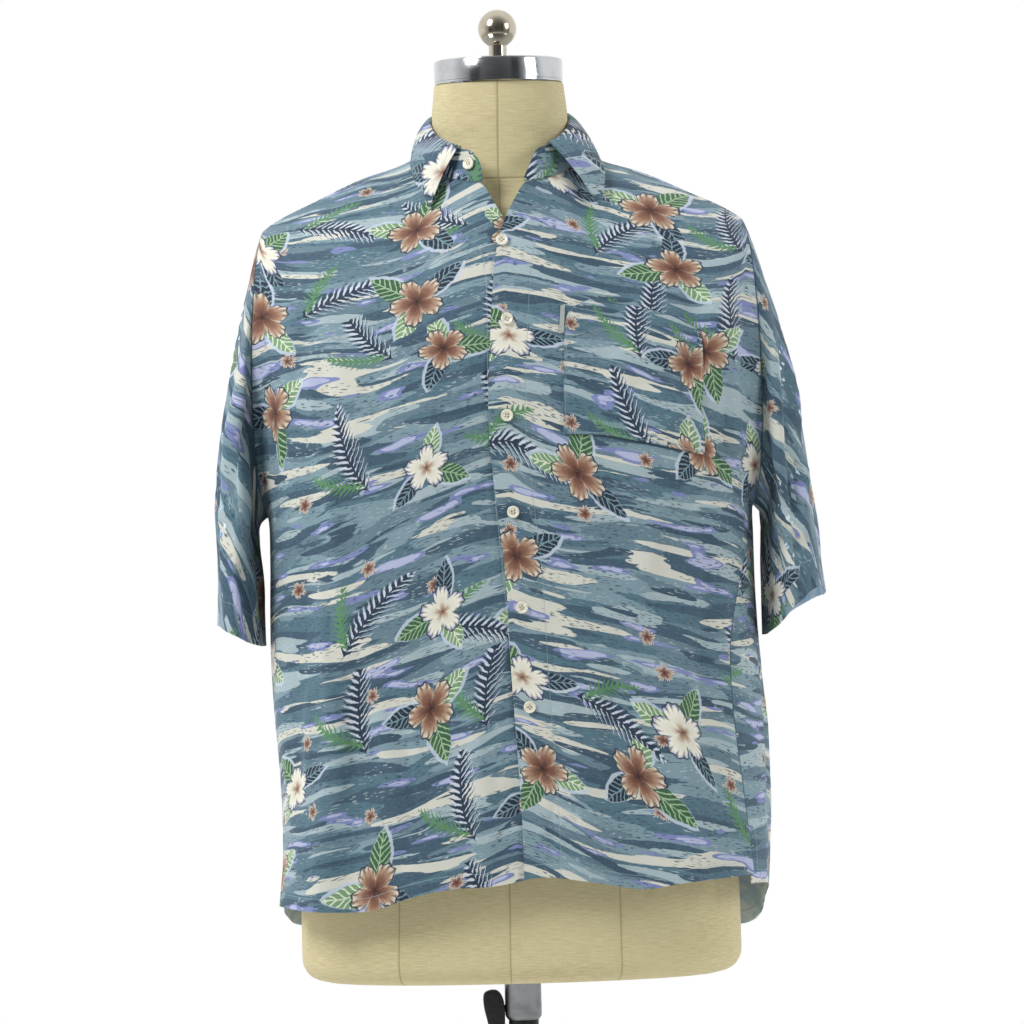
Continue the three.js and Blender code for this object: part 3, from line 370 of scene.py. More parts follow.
def scatter(u: Signal, v: Signal, wide: float, high: float, random: float) -> tuple[Signal, Signal, Signal]:
    """Spreads places for motifs over the cloth.

    Args:
        u: across the cloth, mm.
        v: up the cloth, mm.
        wide: spacing across.
        high: spacing up.
        random: 0 for a grid, 1 for none.

    Returns:
        Place across and up from the nearest motif's middle, and that motif's random colour.
    """
    cell = add_node(
        u.tree,
        "ShaderNodeTexVoronoi",
        {"Vector": join(u * (1 / wide), v * (1 / high)), "Scale": 1.0, "Randomness": random},
        voronoi_dimensions="2D",
    )
    px, py, _ = split(Signal(u.tree, cell.outputs["Position"]))
    return u - px * wide, v - py * high, Signal(u.tree, cell.outputs["Color"])


def leaf(x: Signal, y: Signal, size: float, width: float) -> tuple[Signal, Signal]:
    """A pointed leaf with side veins, its stalk at the middle and its tip along x.

    Args:
        x: place along the leaf, mm.
        y: place across it.
        size: its length.
        width: its half width.

    Returns:
        Where the leaf is, and where its veins and cuts are.
    """
    t = x * (1 / size)
    half = (t * (1 - t)).most(-0.2) * (4 * width)
    side = abs(y)
    veins = ((x - side * 1.1) * (1 / 6.5)).fraction().near(0.5, 0.16)
    return (half - side).rise(-0.5, 0.5), veins.most(side.near(0.0, 0.7))


def frond(x: Signal, y: Signal, size: float, reach: float, pitch: float) -> Signal:
    """A palm frond: leaflets off a bowed stem.

    Args:
        x: place along the stem, mm.
        y: place across it.
        size: the stem's length.
        reach: how far the leaflets stand out.
        pitch: their spacing.

    Returns:
        Where the frond is.
    """
    bowed = y + x * x * (0.3 / size)
    t = x * (1 / size)
    side = abs(bowed)
    length = (t * (1.08 - t)).most(0.0) ** 0.6 * (1.6 * reach)
    place = abs(((x - side * 0.9) * (1 / pitch)).fraction() - 0.5)
    blades = ((1 - side / (length + 0.01)).most(0.0) * 0.42 - place).rise(-0.03, 0.05)
    stem = (1.0 - side).rise(-0.4, 0.4) * abs(t - 0.5).near(0.0, 0.52)
    return (blades * (length - side).rise(0.0, 1.5)).most(stem)


def blossom(x: Signal, y: Signal, size: float) -> tuple[Signal, Signal, Signal]:
    """A five petalled blossom.

    Args:
        x: place across from its middle, mm.
        y: place up.
        size: radius to the petals' tips.

    Returns:
        Where it is, how far out in the petal, and where its veins are.
    """
    radius = x.length(y)
    angle = x.angle(y)
    lobe = abs((angle * 2.5).cos()) ** 0.5
    edge = lobe * (0.62 * size) + (0.38 * size) + (angle * 20).sin() * 0.9
    out = radius / edge
    veins = (abs((angle * 12.5 + out * 1.5).sin()) * out).rise(0.62, 0.9)
    return (edge - radius).rise(-0.5, 0.5), out, veins


# Petal colours from the middle of a blossom outward
BROWN_PETAL = [(0.0, "#2f201f"), (0.2, "#5e3d33"), (0.55, "#8a6350"), (0.82, "#b79c85"), (1.0, "#e3dccb")]
CREAM_PETAL = [(0.0, "#5a3b33"), (0.16, "#a98a76"), (0.4, "#dcd9c9"), (0.85, "#e9e8dc"), (1.0, "#a9b4d8")]
BUD_PETAL = [(0.0, "#4a332f"), (0.5, "#8b6354"), (0.9, "#d9cfc2")]

# Brush strokes of water, laid one over another: length and height of their blotches in mm,
# which noise, the level above which they are laid, and their colour
WATER = [
    (170, 27, 1.0, 0.505, "#7d97a2"),
    (120, 19, 13.0, 0.545, "#66808d"),
    (150, 17, 29.0, 0.565, "#445d6f"),
    (105, 14, 41.0, 0.598, "#a3b6bc"),
    (130, 15, 57.0, 0.615, "#d2d2c7"),
    (90, 12, 71.0, 0.635, "#3c5466"),
    (64, 14, 89.0, 0.635, "#7d88b8"),
    (64, 14, 89.0, 0.680, "#b2b9d7"),
]


def water(u: Signal, v: Signal) -> Signal:
    """Flat brush strokes of water in slate, teal, aqua, cream and lavender.

    Args:
        u: across the cloth, mm.
        v: up the cloth, mm.

    Returns:
        The colour.
    """
    swell = noise(join(u * (1 / 190), v * (1 / 140)), 1) * 55 + (u * (1 / 52)).sin() * 3.0
    flow = v + swell
    ragged = (noise(join(u * (1 / 12), flow * (1 / 2.0)), 1) - 0.5) * 0.045
    colour = blend("#506e7e", "#597886", noise(join(u * (1 / 40), v * (1 / 9)), 1))
    for wide, high, layer, level, paint in WATER:
        patch = noise(join(u * (1 / wide), flow * (1 / high), layer), 1, 0.4) + ragged
        colour = blend(colour, paint, patch.rise(level, level + 0.006))
    strokes = noise(join(u * (1 / 6.5), flow * (1 / 1.15), 11.0), 0)
    where = noise(join(u * (1 / 70), v * (1 / 22), 17.0), 1)
    dark = strokes.rise(0.62, 0.67) * where.rise(0.46, 0.52)
    pale = (1 - strokes).rise(0.66, 0.71) * (1 - where).rise(0.52, 0.6)
    return blend(blend(colour, "#385061", dark * 0.85), "#c4cfd0", pale * 0.6)


def drawn(u: Signal, v: Signal, size: float) -> tuple[Signal, Signal]:
    """Shakes a place a little, so that motifs on it have a hand drawn outline.

    Args:
        u: across the cloth, mm.
        v: up the cloth, mm.
        size: how far it is moved.

    Returns:
        The moved place.
    """
    du = noise(join(u * (1 / 9), v * (1 / 9), 61.0), 2, 0.6) - 0.5
    dv = noise(join(u * (1 / 9), v * (1 / 9), 83.0), 2, 0.6) - 0.5
    return u + du * (2 * size), v + dv * (2 * size)


def sprigs(u: Signal, v: Signal, colour: Signal) -> Signal:
    """Brown and cream blossoms with green leaves.

    Args:
        u: across the cloth, mm.
        v: up the cloth, mm.
        colour: what they lie on.

    Returns:
        The colour with them on it.
    """
    x, y, rand = scatter(u, v, 146, 112, 0.72)
    pick, turn, kind = split(rand)
    here = pick.rise(0.10, 0.11)
    x, y = turned(x, y, turn * FULL_TURN)
    x, y = x * (kind * 0.45 + 0.82), y * (turn * 0.35 + 0.85)
    for angle, size, width, shade, rib in (
        (0.5, 54, 11, "#3c6147", "#9dbb93"),
        (2.3, 46, 10, "#789b76", "#d9e2c8"),
        (-1.4, 52, 9.5, "#212f40", "#7995a0"),
    ):
        lx, ly = turned(x, y, angle)
        body, veins = leaf(lx, ly, size, width)
        rim, _ = leaf(lx - 1.5, ly + 1.5, size + 1.5, width + 1.2)
        colour = blend(colour, "#c3cfe0", rim * here * 0.8)
        colour = blend(colour, blend(shade, rib, veins), body * here)
    petals, out, veins = blossom(x, y, 25)
    petal = blend(ramp(out, BROWN_PETAL), ramp(out, CREAM_PETAL), kind.rise(0.62, 0.63))
    petal = blend(petal, "#4a312c", veins * 0.75)
    outline, _, _ = blossom(x, y, 26.6)
    colour = blend(colour, "#2c3747", outline * here)
    return blend(colour, petal, petals * here)


def palms(u: Signal, v: Signal, colour: Signal) -> Signal:
    """Navy and green fronds and small brown buds.

    Args:
        u: across the cloth, mm.
        v: up the cloth, mm.
        colour: what they lie on.

    Returns:
        The colour with them on it.
    """
    x, y, rand = scatter(u + 71, v + 43, 150, 118, 0.75)
    pick, turn, _ = split(rand)
    here = pick.rise(0.16, 0.17)
    x, y = turned(x, y, turn * 3.1 - 0.4)
    colour = blend(colour, "#d6dcea", frond(x + 36, y + 2, 84, 21, 6.2) * here * 0.85)
    colour = blend(colour, "#27384c", frond(x + 38, y, 84, 20, 6.2) * here)
    lx, ly = turned(x + 30, y, 0.85)
    colour = blend(colour, "#5b8a5f", frond(lx, ly, 56, 15, 5.2) * here)
    x, y, rand = scatter(u + 15, v + 9, 74, 58, 0.8)
    pick, turn, _ = split(rand)
    x, y = turned(x, y, turn * FULL_TURN)
    bud, out, veins = blossom(x, y, 8.5)
    bud_colour = blend(ramp(out, BUD_PETAL), "#3a2e33", veins)
    return blend(colour, bud_colour, bud * pick.rise(0.6, 0.61))


def stitches(u: Signal, v: Signal, *lines: Signal) -> tuple[Signal, Signal]:
    """Rows of stitching.

    Args:
        u: across the cloth, mm.
        v: up the cloth, mm.
        lines: distance from each row's line, mm.

    Returns:
        Where thread shows, and where the row pulls the cloth in.
    """
    dash = abs((((u + v * 0.83) * (1 / 2.7)).fraction() - 0.5)).rise(0.41, 0.36)
    thread, pull = lines[0].near(0.0, 0.42), lines[0].near(0.0, 1.6)
    for line in lines[1:]:
        thread, pull = thread.most(line.near(0.0, 0.42)), pull.most(line.near(0.0, 1.6))
    return thread * dash, pull


def surface(
    material: bpy.types.Material,
    colour: Union[Signal, str],
    roughness: Union[Signal, float],
    height: Optional[Signal] = None,
    **sockets: float,
) -> bpy.types.Material:
    """Finishes a material with one principled shader.

    Args:
        material: the material.
        colour: its base colour.
        roughness: how dull it is.
        height: relief in millimetres.
        sockets: further settings, with underscores for spaces in their names.

    Returns:
        The material.
    """
    tree = material.node_tree
    inputs = {"Base Color": linear(colour) if isinstance(colour, str) else colour, "Roughness": roughness}
    inputs.update({name.replace("_", " "): value for name, value in sockets.items()})
    if height is not None:
        bump = add_node(tree, "ShaderNodeBump", {"Height": height, "Distance": MM, "Strength": 1.0})
        inputs["Normal"] = Signal(tree, bump.outputs[0])
    shader = add_node(tree, "ShaderNodeBsdfPrincipled", inputs)
    end = add_node(tree, "ShaderNodeOutputMaterial")
    tree.links.new(shader.outputs[0], end.inputs[0])
    return material


def blank_material(name: str) -> bpy.types.Material:
    """Makes a material with an empty tree.

    Args:
        name: its name.

    Returns:
        The material.
    """
    material = bpy.data.materials.new(name)
    material.use_nodes = True
    material.node_tree.nodes.clear()
    return material


# Finishes


@dataclass(frozen=True)
class PrintedRayon:
    """Printed viscose rayon, crisp on its right side and pale blue on the wrong one, lightened there as
    painted light for the light that comes through the thin cloth.
    """

    thread_pitch: float = 0.62     # mm between threads
    seam_allowance: float = 9.0    # mm of double cloth beside a seam

    def material(self, wrong_side: bool = False) -> bpy.types.Material:
        """Builds the material.

        Args:
            wrong_side: whether it is the inside of the cloth.

        Returns:
            The material.
        """
        material = blank_material("rayon_wrong_side" if wrong_side else "rayon_print")
        tree = material.node_tree
        u, v, _ = split(attribute(tree, "cloth"))
        hem, edge, seam = split(attribute(tree, "stitch"))
        if wrong_side:
            # painted light: the wrong side's pale blue is lightened past the cloth's own colour, standing in
            # for light that comes through the thin cloth
            colour = blend("#b9d6ee", "#e2edf4", noise(join(u * (1 / 60), v * (1 / 14)), 3).rise(0.4, 0.62))
        else:
            loose_u, loose_v = drawn(u, v, 2.4)
            colour = palms(loose_u, loose_v, water(u, v))
            colour = sprigs(loose_u, loose_v, colour)
        thread, pull = stitches(u, v, hem, edge)
        slub = noise(join(u * (1 / 5), v * (1 / 0.55), 3.0), 1)
        colour = blend(colour, "#e4ecec", slub.rise(0.63, 0.72) * 0.16)
        colour = blend(colour, "#9db9c0", thread * 0.55)
        # painted shade: the cloth is darkened along each seam for the shade in the seam's groove
        colour = blend(colour, "#3f6070", seam.near(0.0, 0.9) * 0.55)
        weave = (u * (FULL_TURN / self.thread_pitch)).sin() * (v * (FULL_TURN / self.thread_pitch)).sin()
        pucker = ((u + v) * 0.85).sin() * (pull * 0.12 + (1 - seam.rise(0.0, self.seam_allowance)) * 0.10)
        relief = weave * 0.012 + slub * 0.03 + pucker - pull * 0.16 + thread * 0.12
        relief = relief + (1 - seam.rise(0.0, 1.4)) * -0.2 + (1 - hem.least(edge).rise(-0.6, 0.6)) * 0.28
        rough = 0.62 + slub * 0.2
        return surface(
            material, colour, rough, relief,
            Specular_IOR_Level=0.28, Sheen_Weight=0.12, Sheen_Roughness=0.45,
        )


@dataclass(frozen=True)
class Linen:
    """Natural linen stretched over the form, with its seams."""

    pitch: float = 0.95            # mm between threads
    panel_seam: float = 114.0      # mm from the middle seam to a side panel's, at the foot

    def material(self) -> bpy.types.Material:
        """Builds the material. Returns: the material."""
        material = blank_material("linen")
        tree = material.node_tree
        u, z, _ = split(attribute(tree, "cloth"))
        slubs = noise(join(u * (1 / 14), z * (1 / 0.8)), 2, 0.6)
        warp = noise(join(u * (1 / 0.8), z * (1 / 22), 5.0), 2, 0.6)
        cloud = noise(join(u * (1 / 90), z * (1 / 90), 9.0), 2)
        colour = blend("#c6b98f", "#d8cda5", slubs.rise(0.36, 0.66))
        colour = blend(colour, "#b3a681", warp.rise(0.56, 0.74) * 0.45)
        colour = blend(colour, "#d3c89f", cloud.rise(0.35, 0.7) * 0.35)
        middle = u - (z - 1390) * 0.0127 + 2
        lines = [abs(abs(middle) - self.panel_seam - (z - 620) * -0.02), abs(middle), abs(z - 1393)]
        groove = lines[0].least(lines[1]).least(lines[2])
        beside = groove.near(2.6, 0.7) * abs(((u + z) * (1 / 3.0)).fraction() - 0.5).rise(0.42, 0.34)
        colour = blend(colour, "#a3966f", groove.near(0.0, 0.7) * 0.75)
        weave = (u * (FULL_TURN / self.pitch)).sin() * (z * (FULL_TURN / self.pitch)).sin()
        relief = weave * 0.03 + slubs * 0.14 + warp * 0.1 - groove.near(0.0, 1.1) * 0.45 + beside * 0.1
        return surface(material, colour, 0.86, relief, Specular_IOR_Level=0.2, Sheen_Weight=0.08)


@dataclass(frozen=True)
class Metal:
    """Steel: polished, brushed or painted."""

    name: str
    colour: str
    stain: str
    roughness: float
    metallic: float
    grain: float                   # height of the brushing or paint texture, mm
    brushed: bool = False

    def material(self) -> bpy.types.Material:
        """Builds the material. Returns: the material."""
        material = blank_material(self.name)
        tree = material.node_tree
        place = object_place(tree)
        x, y, z = split(place)
        if self.brushed:
            grain = noise(join(x * (1 / 60), y * (1 / 60), z * (1 / 0.35)), 2)
        else:
            grain = noise(join(x * (1 / 0.8), y * (1 / 0.8), z * (1 / 0.8)), 3, 0.6)
        smudge = noise(join(x * (1 / 18), y * (1 / 18), z * (1 / 14)), 3)
        colour = blend(self.colour, self.stain, smudge.rise(0.42, 0.7) * 0.5)
        rough = self.roughness + smudge.rise(0.45, 0.75) * 0.08 + grain * 0.05
        return surface(material, colour, rough, grain * self.grain, Metallic=self.metallic)


@dataclass(frozen=True)
class Plain:
    """Moulded plastic or shell with a cloudy grain."""

    name: str
    colour: str
    cloud: str
    roughness: float
    scale: float                   # mm across one cloud
    coat: float = 0.0

    def material(self) -> bpy.types.Material:
        """Builds the material. Returns: the material."""
        material = blank_material(self.name)
        x, y, z = split(object_place(material.node_tree))
        step = 1 / self.scale
        bands = noise(join(x * step, y * step, z * (step * 1.8)), 3, 0.55)
        fine = noise(join(x * 2.5, y * 2.5, z * 2.5), 2)
        colour = blend(self.colour, self.cloud, bands.rise(0.4, 0.66))
        return surface(material, colour, self.roughness + fine * 0.12, fine * 0.02, Coat_Weight=self.coat)


@dataclass(frozen=True)
class WovenTape:
    """Blank woven label tape."""

    pitch: float = 0.7             # mm between ribs

    def material(self) -> bpy.types.Material:
        """Builds the material. Returns: the material."""
        material = blank_material("label_tape")
        u, v, _ = split(attribute(material.node_tree, "cloth"))
        rib = abs((v * (FULL_TURN / self.pitch)).sin())
        fleck = noise(join(u, v * 3.0), 2)
        colour = blend("#8d9a9c", "#c3c9c4", fleck.rise(0.35, 0.65))
        return surface(material, colour, 0.7, rib * 0.08 + fleck * 0.05)


THREAD = Plain("sewing_thread", "#d9d6c4", "#c3bfa9", 0.7, 0.6)
SHELL = Plain("pearl_button", "#ece9d8", "#d8d4bd", 0.22, 3.5, 0.4)
PLASTIC = Plain("black_plastic", "#141719", "#1e2124", 0.42, 9.0)
BRIGHT_STEEL = Metal("bright_steel", "#c9cccf", "#b4b8bc", 0.1, 1.0, 0.006, True)
BALL_STEEL = Metal("ball_steel", "#c9c0ae", "#b3aa99", 0.13, 1.0, 0.002)
GREY_STEEL = Metal("grey_steel", "#8a8c8f", "#6c6f72", 0.33, 1.0, 0.03, True)
BLACK_STEEL = Metal("black_steel", "#17191c", "#222528", 0.4, 0.3, 0.05)


# Meshes


def smooth_step(values: np.ndarray, low: float, high: float) -> np.ndarray:
    """A soft step over an array.

    Args:
        values: the numbers.
        low: where it leaves 0.
        high: where it reaches 1.

    Returns:
        0 to 1 for each.
    """
    t = np.clip((values - low) / (high - low), 0, 1)
    return t * t * (3 - 2 * t)


def shaded(mesh: bpy.types.Mesh, sharp: float) -> None:
    """Shades a mesh smooth but for its crisp edges.

    Args:
        mesh: the mesh.
        sharp: degrees between faces that leave an edge crisp.
    """
    mesh.polygons.foreach_set("use_smooth", np.ones(len(mesh.polygons), bool))
    mesh.set_sharp_from_angle(angle=math.radians(sharp))


def new_object(
    name: str,
    points: np.ndarray,
    faces: Sequence[Sequence[int]],
    materials: Sequence[bpy.types.Material],
    sharp: float = 40.0,
) -> bpy.types.Object:
    """Makes a mesh object at the origin.

    Args:
        name: its name.
        points: places in millimetres.
        faces: corner numbers of each face.
        materials: its materials in order.
        sharp: degrees between faces that leave an edge crisp.

    Returns:
        The object.
    """
    mesh = bpy.data.meshes.new(name)
    mesh.from_pydata((np.asarray(points) * MM).tolist(), [], faces)
    for material in materials:
        mesh.materials.append(material)
    shaded(mesh, sharp)
    obj = bpy.data.objects.new(name, mesh)
    bpy.context.scene.collection.objects.link(obj)
    return obj


def carry(obj: bpy.types.Object, name: str, values: np.ndarray) -> None:
    """Stores a vector on each point of a mesh.

    Args:
        obj: the object.
        name: the attribute's name.
        values: one vector a point.
    """
    layer = obj.data.attributes.new(name, "FLOAT_VECTOR", "POINT")
    layer.data.foreach_set("vector", np.ascontiguousarray(values, np.float32).ravel())


def baked(obj: bpy.types.Object) -> bpy.types.Object:
    """Applies an object's modifiers.

    Args:
        obj: the object.

    Returns:
        The same object with its finished mesh.
    """
    graph = bpy.context.evaluated_depsgraph_get()
    mesh = bpy.data.meshes.new_from_object(obj.evaluated_get(graph))
    obj.modifiers.clear()
    obj.data = mesh
    return obj


def bevelled(obj: bpy.types.Object, width: float, segments: int = 3) -> bpy.types.Object:
    """Rounds an object's crisp edges.

    Args:
        obj: the object.
        width: the rounding's width in millimetres.
        segments: how many facets it has.

    Returns:
        The same object.
    """
    bevel = obj.modifiers.new("rounding", "BEVEL")
    bevel.width = width * MM
    bevel.segments = segments
    bevel.limit_method = "ANGLE"
    bevel.angle_limit = math.radians(35)
    bevel.harden_normals = False
    obj = baked(obj)
    shaded(obj.data, 50)
    return obj


# Creases


@dataclass(frozen=True)
class Crease:
    """A soft fold, placed by its two ends on the flat cloth.

    A flat place is millimetres along the cloth from the piece's middle line, and height.
    """

    start: tuple[float, float]
    end: tuple[float, float]
    width: float                   # half width
    depth: float                   # above 0 for a ridge
    bow: float = 0.0               # how far its middle swings aside
    lean: float = 0.0              # above 0 where its second side is steeper
    blunt: float = 0.25            # share of its length over which it fades in and out

    def lift(self, flat: np.ndarray) -> np.ndarray:
        """How far it moves the cloth out.

        Args:
            flat: flat places, one a row.

        Returns:
            Millimetres for each.
        """
        start, end = np.array(self.start, float), np.array(self.end, float)
        along = end - start
        length = float(np.hypot(*along))
        along /= length
        across = np.array([-along[1], along[0]])
        t = (flat - start) @ along / length
        drift = self.bow * 4 * t * (1 - t) + 0.04 * length * np.sin(5.1 * t + start[0])
        side = (flat - start) @ across - drift
        width = self.width * (1 + 0.3 * np.sin(4.3 * t + self.start[1] * 0.01))
        width = width * np.where(side > 0, 1 - self.lean, 1 + self.lean)
        hill = np.exp(-((side / width) ** 2)) - 0.3 * np.exp(-((side / (2.1 * width)) ** 2))
        fade = smooth_step(t, -0.02, self.blunt) * (1 - smooth_step(t, 1 - self.blunt, 1.02))
        uneven = 1 + 0.25 * np.sin(7.7 * t + self.end[0] * 0.05)
        return CREASE_STRENGTH * self.depth * hill * fade * uneven


def ripples(flat: np.ndarray, scale: float, seed: int) -> np.ndarray:
    """Slight unevenness that hanging cloth has everywhere, longer up than across.

    Args:
        flat: flat places, one a row.
        scale: millimetres between ripples.
        seed: which pattern.

    Returns:
        About -1 to 1 for each.
    """
    rng = np.random.default_rng(SEED + seed)
    total = np.zeros(len(flat))
    for _ in range(7):
        angle = rng.normal(0.0, 0.42)
        rate = FULL_TURN / (scale * rng.uniform(0.7, 1.9))
        wave = flat[:, 0] * math.cos(angle) + flat[:, 1] * math.sin(angle) * 0.5
        total += np.sin(wave * rate + rng.uniform(0, 6.28))
    return total / 3.2


FRONT_CREASES = [
    # wearer's right, from the armhole down to the hem
    Crease((-172, 1130), (-186, 880), 12, 2.6, 7, 0.3),
    Crease((-178, 1010), (-200, 740), 9, 3.2, 6, 0.3),
    Crease((-214, 1080), (-226, 760), 13, -3.0, -8, 0.2),
    Crease((-206, 1240), (-150, 1090), 12, 2.4, -14, 0.3),
    Crease((-226, 1190), (-164, 1040), 11, -2.4, -12, 0.2),
    Crease((-196, 1330), (-176, 1130), 15, 2.2, 8),
    Crease((-128, 1300), (-118, 1010), 20, -1.8, 8),
    Crease((-92, 1330), (-64, 1120), 12, 1.6, -8, 0.2),
    Crease((-140, 980), (-150, 700), 16, 2.4, 6, -0.2),
    Crease((-60, 1060), (-70, 760), 22, -1.8, -10),
    Crease((-34, 930), (-44, 705), 12, 1.8, 5, 0.2),
    Crease((-6, 830), (-20, 700), 7, -1.6, 3),
    Crease((-108, 870), (-122, 690), 10, -2.0, 4, 0.3),
    Crease((-66, 1385), (-120, 1310), 10, 1.4, 6),
    # wearer's left, over the pocket and down to the hem
    Crease((214, 1240), (150, 1130), 11, 2.4, 12, 0.3),
    Crease((226, 1180), (170, 1050), 10, -2.6, 12, 0.2),
    Crease((196, 1200), (112, 1176), 7, -1.7, 4, 0.2),
    Crease((186, 1188), (124, 1168), 5, 1.3, 3),
    Crease((212, 1080), (224, 800), 12, 3.0, -6, -0.2),
    Crease((184, 1040), (196, 740), 15, -2.6, 6),
    Crease((140, 1090), (134, 800), 18, 2.0, -6, 0.2),
    Crease((96, 1000), (104, 705), 15, -2.2, 6),
    Crease((60, 950), (66, 702), 12, 2.0, -6, -0.2),
    Crease((32, 860), (38, 705), 7, -1.8, 2),
    Crease((160, 900), (166, 700), 10, 2.2, 4, 0.3),
    Crease((62, 1385), (118, 1300), 10, 1.3, -6),
    Crease((120, 1320), (112, 1200), 18, -1.4, -5),
    Crease((206, 1325), (250, 1085), 10, 4.0, -8, 0.3),
    Crease((184, 1330), (226, 1090), 11, -3.2, -8, 0.2),
    Crease((-206, 1320), (-246, 1085), 9, 3.4, 8, 0.3),
]

BACK_CREASES = [
    Crease((-190, 1250), (-206, 800), 15, 3.2, 8, 0.2),
    Crease((-150, 1290), (-120, 930), 20, -2.8, -14),
    Crease((-104, 1160), (-116, 690), 16, 2.8, 8, -0.2),
    Crease((-58, 1330), (-48, 1010), 18, -2.2, -6),
    Crease((-20, 1120), (-30, 660), 17, 2.6, -9, 0.2),
    Crease((16, 1300), (30, 960), 18, -2.2, 8),
    Crease((60, 1060), (56, 655), 15, 3.0, 6, -0.3),
    Crease((98, 1310), (120, 900), 20, -2.6, 12),
    Crease((150, 1180), (140, 680), 15, 2.9, -8, 0.2),
    Crease((196, 1240), (212, 820), 15, -2.8, -8),
    Crease((228, 1150), (170, 1010), 11, 2.4, 10, 0.3),
    Crease((-230, 1140), (-172, 1000), 11, -2.4, -10, 0.2),
    Crease((-258, 1030), (-270, 720), 17, 2.6, 8),
    Crease((-320, 1000), (-330, 700), 16, -2.4, -8),
    Crease((262, 1040), (272, 740), 17, -2.5, -6),
    Crease((318, 1010), (330, 710), 15, 2.7, 8, 0.2),
    Crease((372, 1010), (382, 720), 15, -2.3, -5),
    Crease((-376, 980), (-384, 730), 14, 2.0, 5),
]

SLEEVE_RIGHT_CREASES = [
    Crease((196, 1120), (200, 925), 30, 3.0, 0, 0, 0.2),
    Crease((102, 1262), (98, 955), 8, 4.2, 5, 0.3),
    Crease((84, 1240), (80, 962), 9, -3.4, 5, 0.2),
    Crease((122, 1190), (118, 960), 8, -3.0, -4),
    Crease((112, 1090), (80, 1052), 6, 2.6, 3, 0.3),
    Crease((40, 1300), (58, 1000), 14, 3.4, 8, 0.3),
    Crease((84, 1250), (96, 1020), 12, -3.0, -7, 0.2),
    Crease((12, 1240), (24, 960), 13, -2.6, -6),
    Crease((118, 1180), (104, 980), 10, 2.2, 6, 0.2),
    Crease((60, 1120), (110, 1035), 8, 2.0, 5, 0.3),
    Crease((-46, 1300), (-60, 990), 14, 3.0, -8, -0.3),
    Crease((-92, 1230), (-104, 1000), 12, -2.8, 6),
    Crease((-130, 1160), (-118, 980), 10, 2.2, -5),
    Crease((160, 1050), (170, 950), 11, -2.0, 4),
    Crease((-164, 1040), (-172, 950), 11, 1.8, -4),
]

SLEEVE_LEFT_CREASES = [
    Crease((106, 1255), (101, 1012), 8, 6.2, 4, 0.4),
    Crease((196, 1130), (200, 925), 30, 3.4, 0, 0, 0.2),
    Crease((86, 1230), (82, 950), 9, -5.0, 5, 0.2),
    Crease((124, 1180), (120, 960), 7, -3.4, -4),
    Crease((128, 1062), (78, 1030), 7, 5.0, 4, 0.4),
    Crease((126, 1040), (82, 1008), 7, -4.4, 4, 0.2),
    Crease((108, 1016), (104, 935), 8, 3.6, -3, 0.2),
    Crease((70, 1160), (96, 1088), 7, 2.8, 4, 0.3),
    Crease((52, 1290), (62, 1110), 13, 3.8, 8, 0.35),
    Crease((62, 1120), (96, 1040), 9, 3.2, -5, 0.3),
    Crease((30, 1150), (34, 985), 13, -3.2, -6, 0.2),
    Crease((92, 1230), (86, 1010), 11, -3.0, 6),
    Crease((118, 1100), (70, 1062), 8, -2.6, 5, 0.2),
    Crease((8, 1250), (-6, 990), 13, 2.6, 7),
    Crease((-42, 1290), (-54, 1000), 14, -2.8, -8, -0.2),
    Crease((-84, 1230), (-98, 990), 12, 3.0, 6, 0.2),
    Crease((-128, 1170), (-120, 990), 11, -2.4, -5),
    Crease((158, 1050), (168, 960), 11, 2.0, 4),
    Crease((-162, 1040), (-170, 960), 10, -1.8, -4),
]

LEAF_CREASES = [
    Crease((-150, 1408), (-110, 1392), 9, 1.0, 3),
    Crease((-60, 1405), (-40, 1440), 10, -0.9, 4),
    Crease((20, 1410), (60, 1440), 12, 0.8, -4),
    Crease((140, 1408), (112, 1392), 9, -1.0, 3),
]


# The flat cloth


@dataclass(frozen=True)
class Section:
    """A quarter of a rounded section, for measuring along the cloth round it."""

    half: float                    # half width
    depth: float
    square: float                  # 2 for an ellipse, more for a squarer section

    def table(self) -> tuple[np.ndarray, np.ndarray]:
        """Lengths along the section.

        Returns:
            Angles from the depth axis, and the length along the section to each.
        """
        t = np.linspace(0, math.pi / 2, 300)
        x = self.half * np.sin(t) ** (2 / self.square)
        y = self.depth * np.cos(t) ** (2 / self.square)
        steps = np.hypot(np.diff(x), np.diff(y))
        return np.arctan2(x, y), np.concatenate([[0], np.cumsum(steps)])

    def length(self, x: np.ndarray, y: np.ndarray) -> np.ndarray:
        """Length along the section from the depth axis to places on it.

        Args:
            x: distances across, 0 or more.
            y: distances in depth, 0 or more.

        Returns:
            The lengths.
        """
        return np.interp(np.arctan2(x, np.maximum(y, 0)), *self.table())

    def whole(self) -> float:
        """Length of the quarter.

        Returns:
            Millimetres.
        """
        return float(self.table()[1][-1])


FRONT_SECTION = Section(243, 155, 3.0)
BACK_SECTION = Section(243, 165, 2.7)
SLEEVE_SECTION = Section(30, 97, 2.2)
SHOULDER_START, SHOULDER_END = 1130, 1260     # heights where cloth turns from the side onto the shoulder
SHOULDER_RUN = 0.6
SLEEVE_HEIGHTS = (940, 1060, 1250, 1350)      # heights at which the sleeves' middle lines are given
SLEEVE_MIDDLES = (276, 272, 259, 243)         # how far those lines are from the body's middle


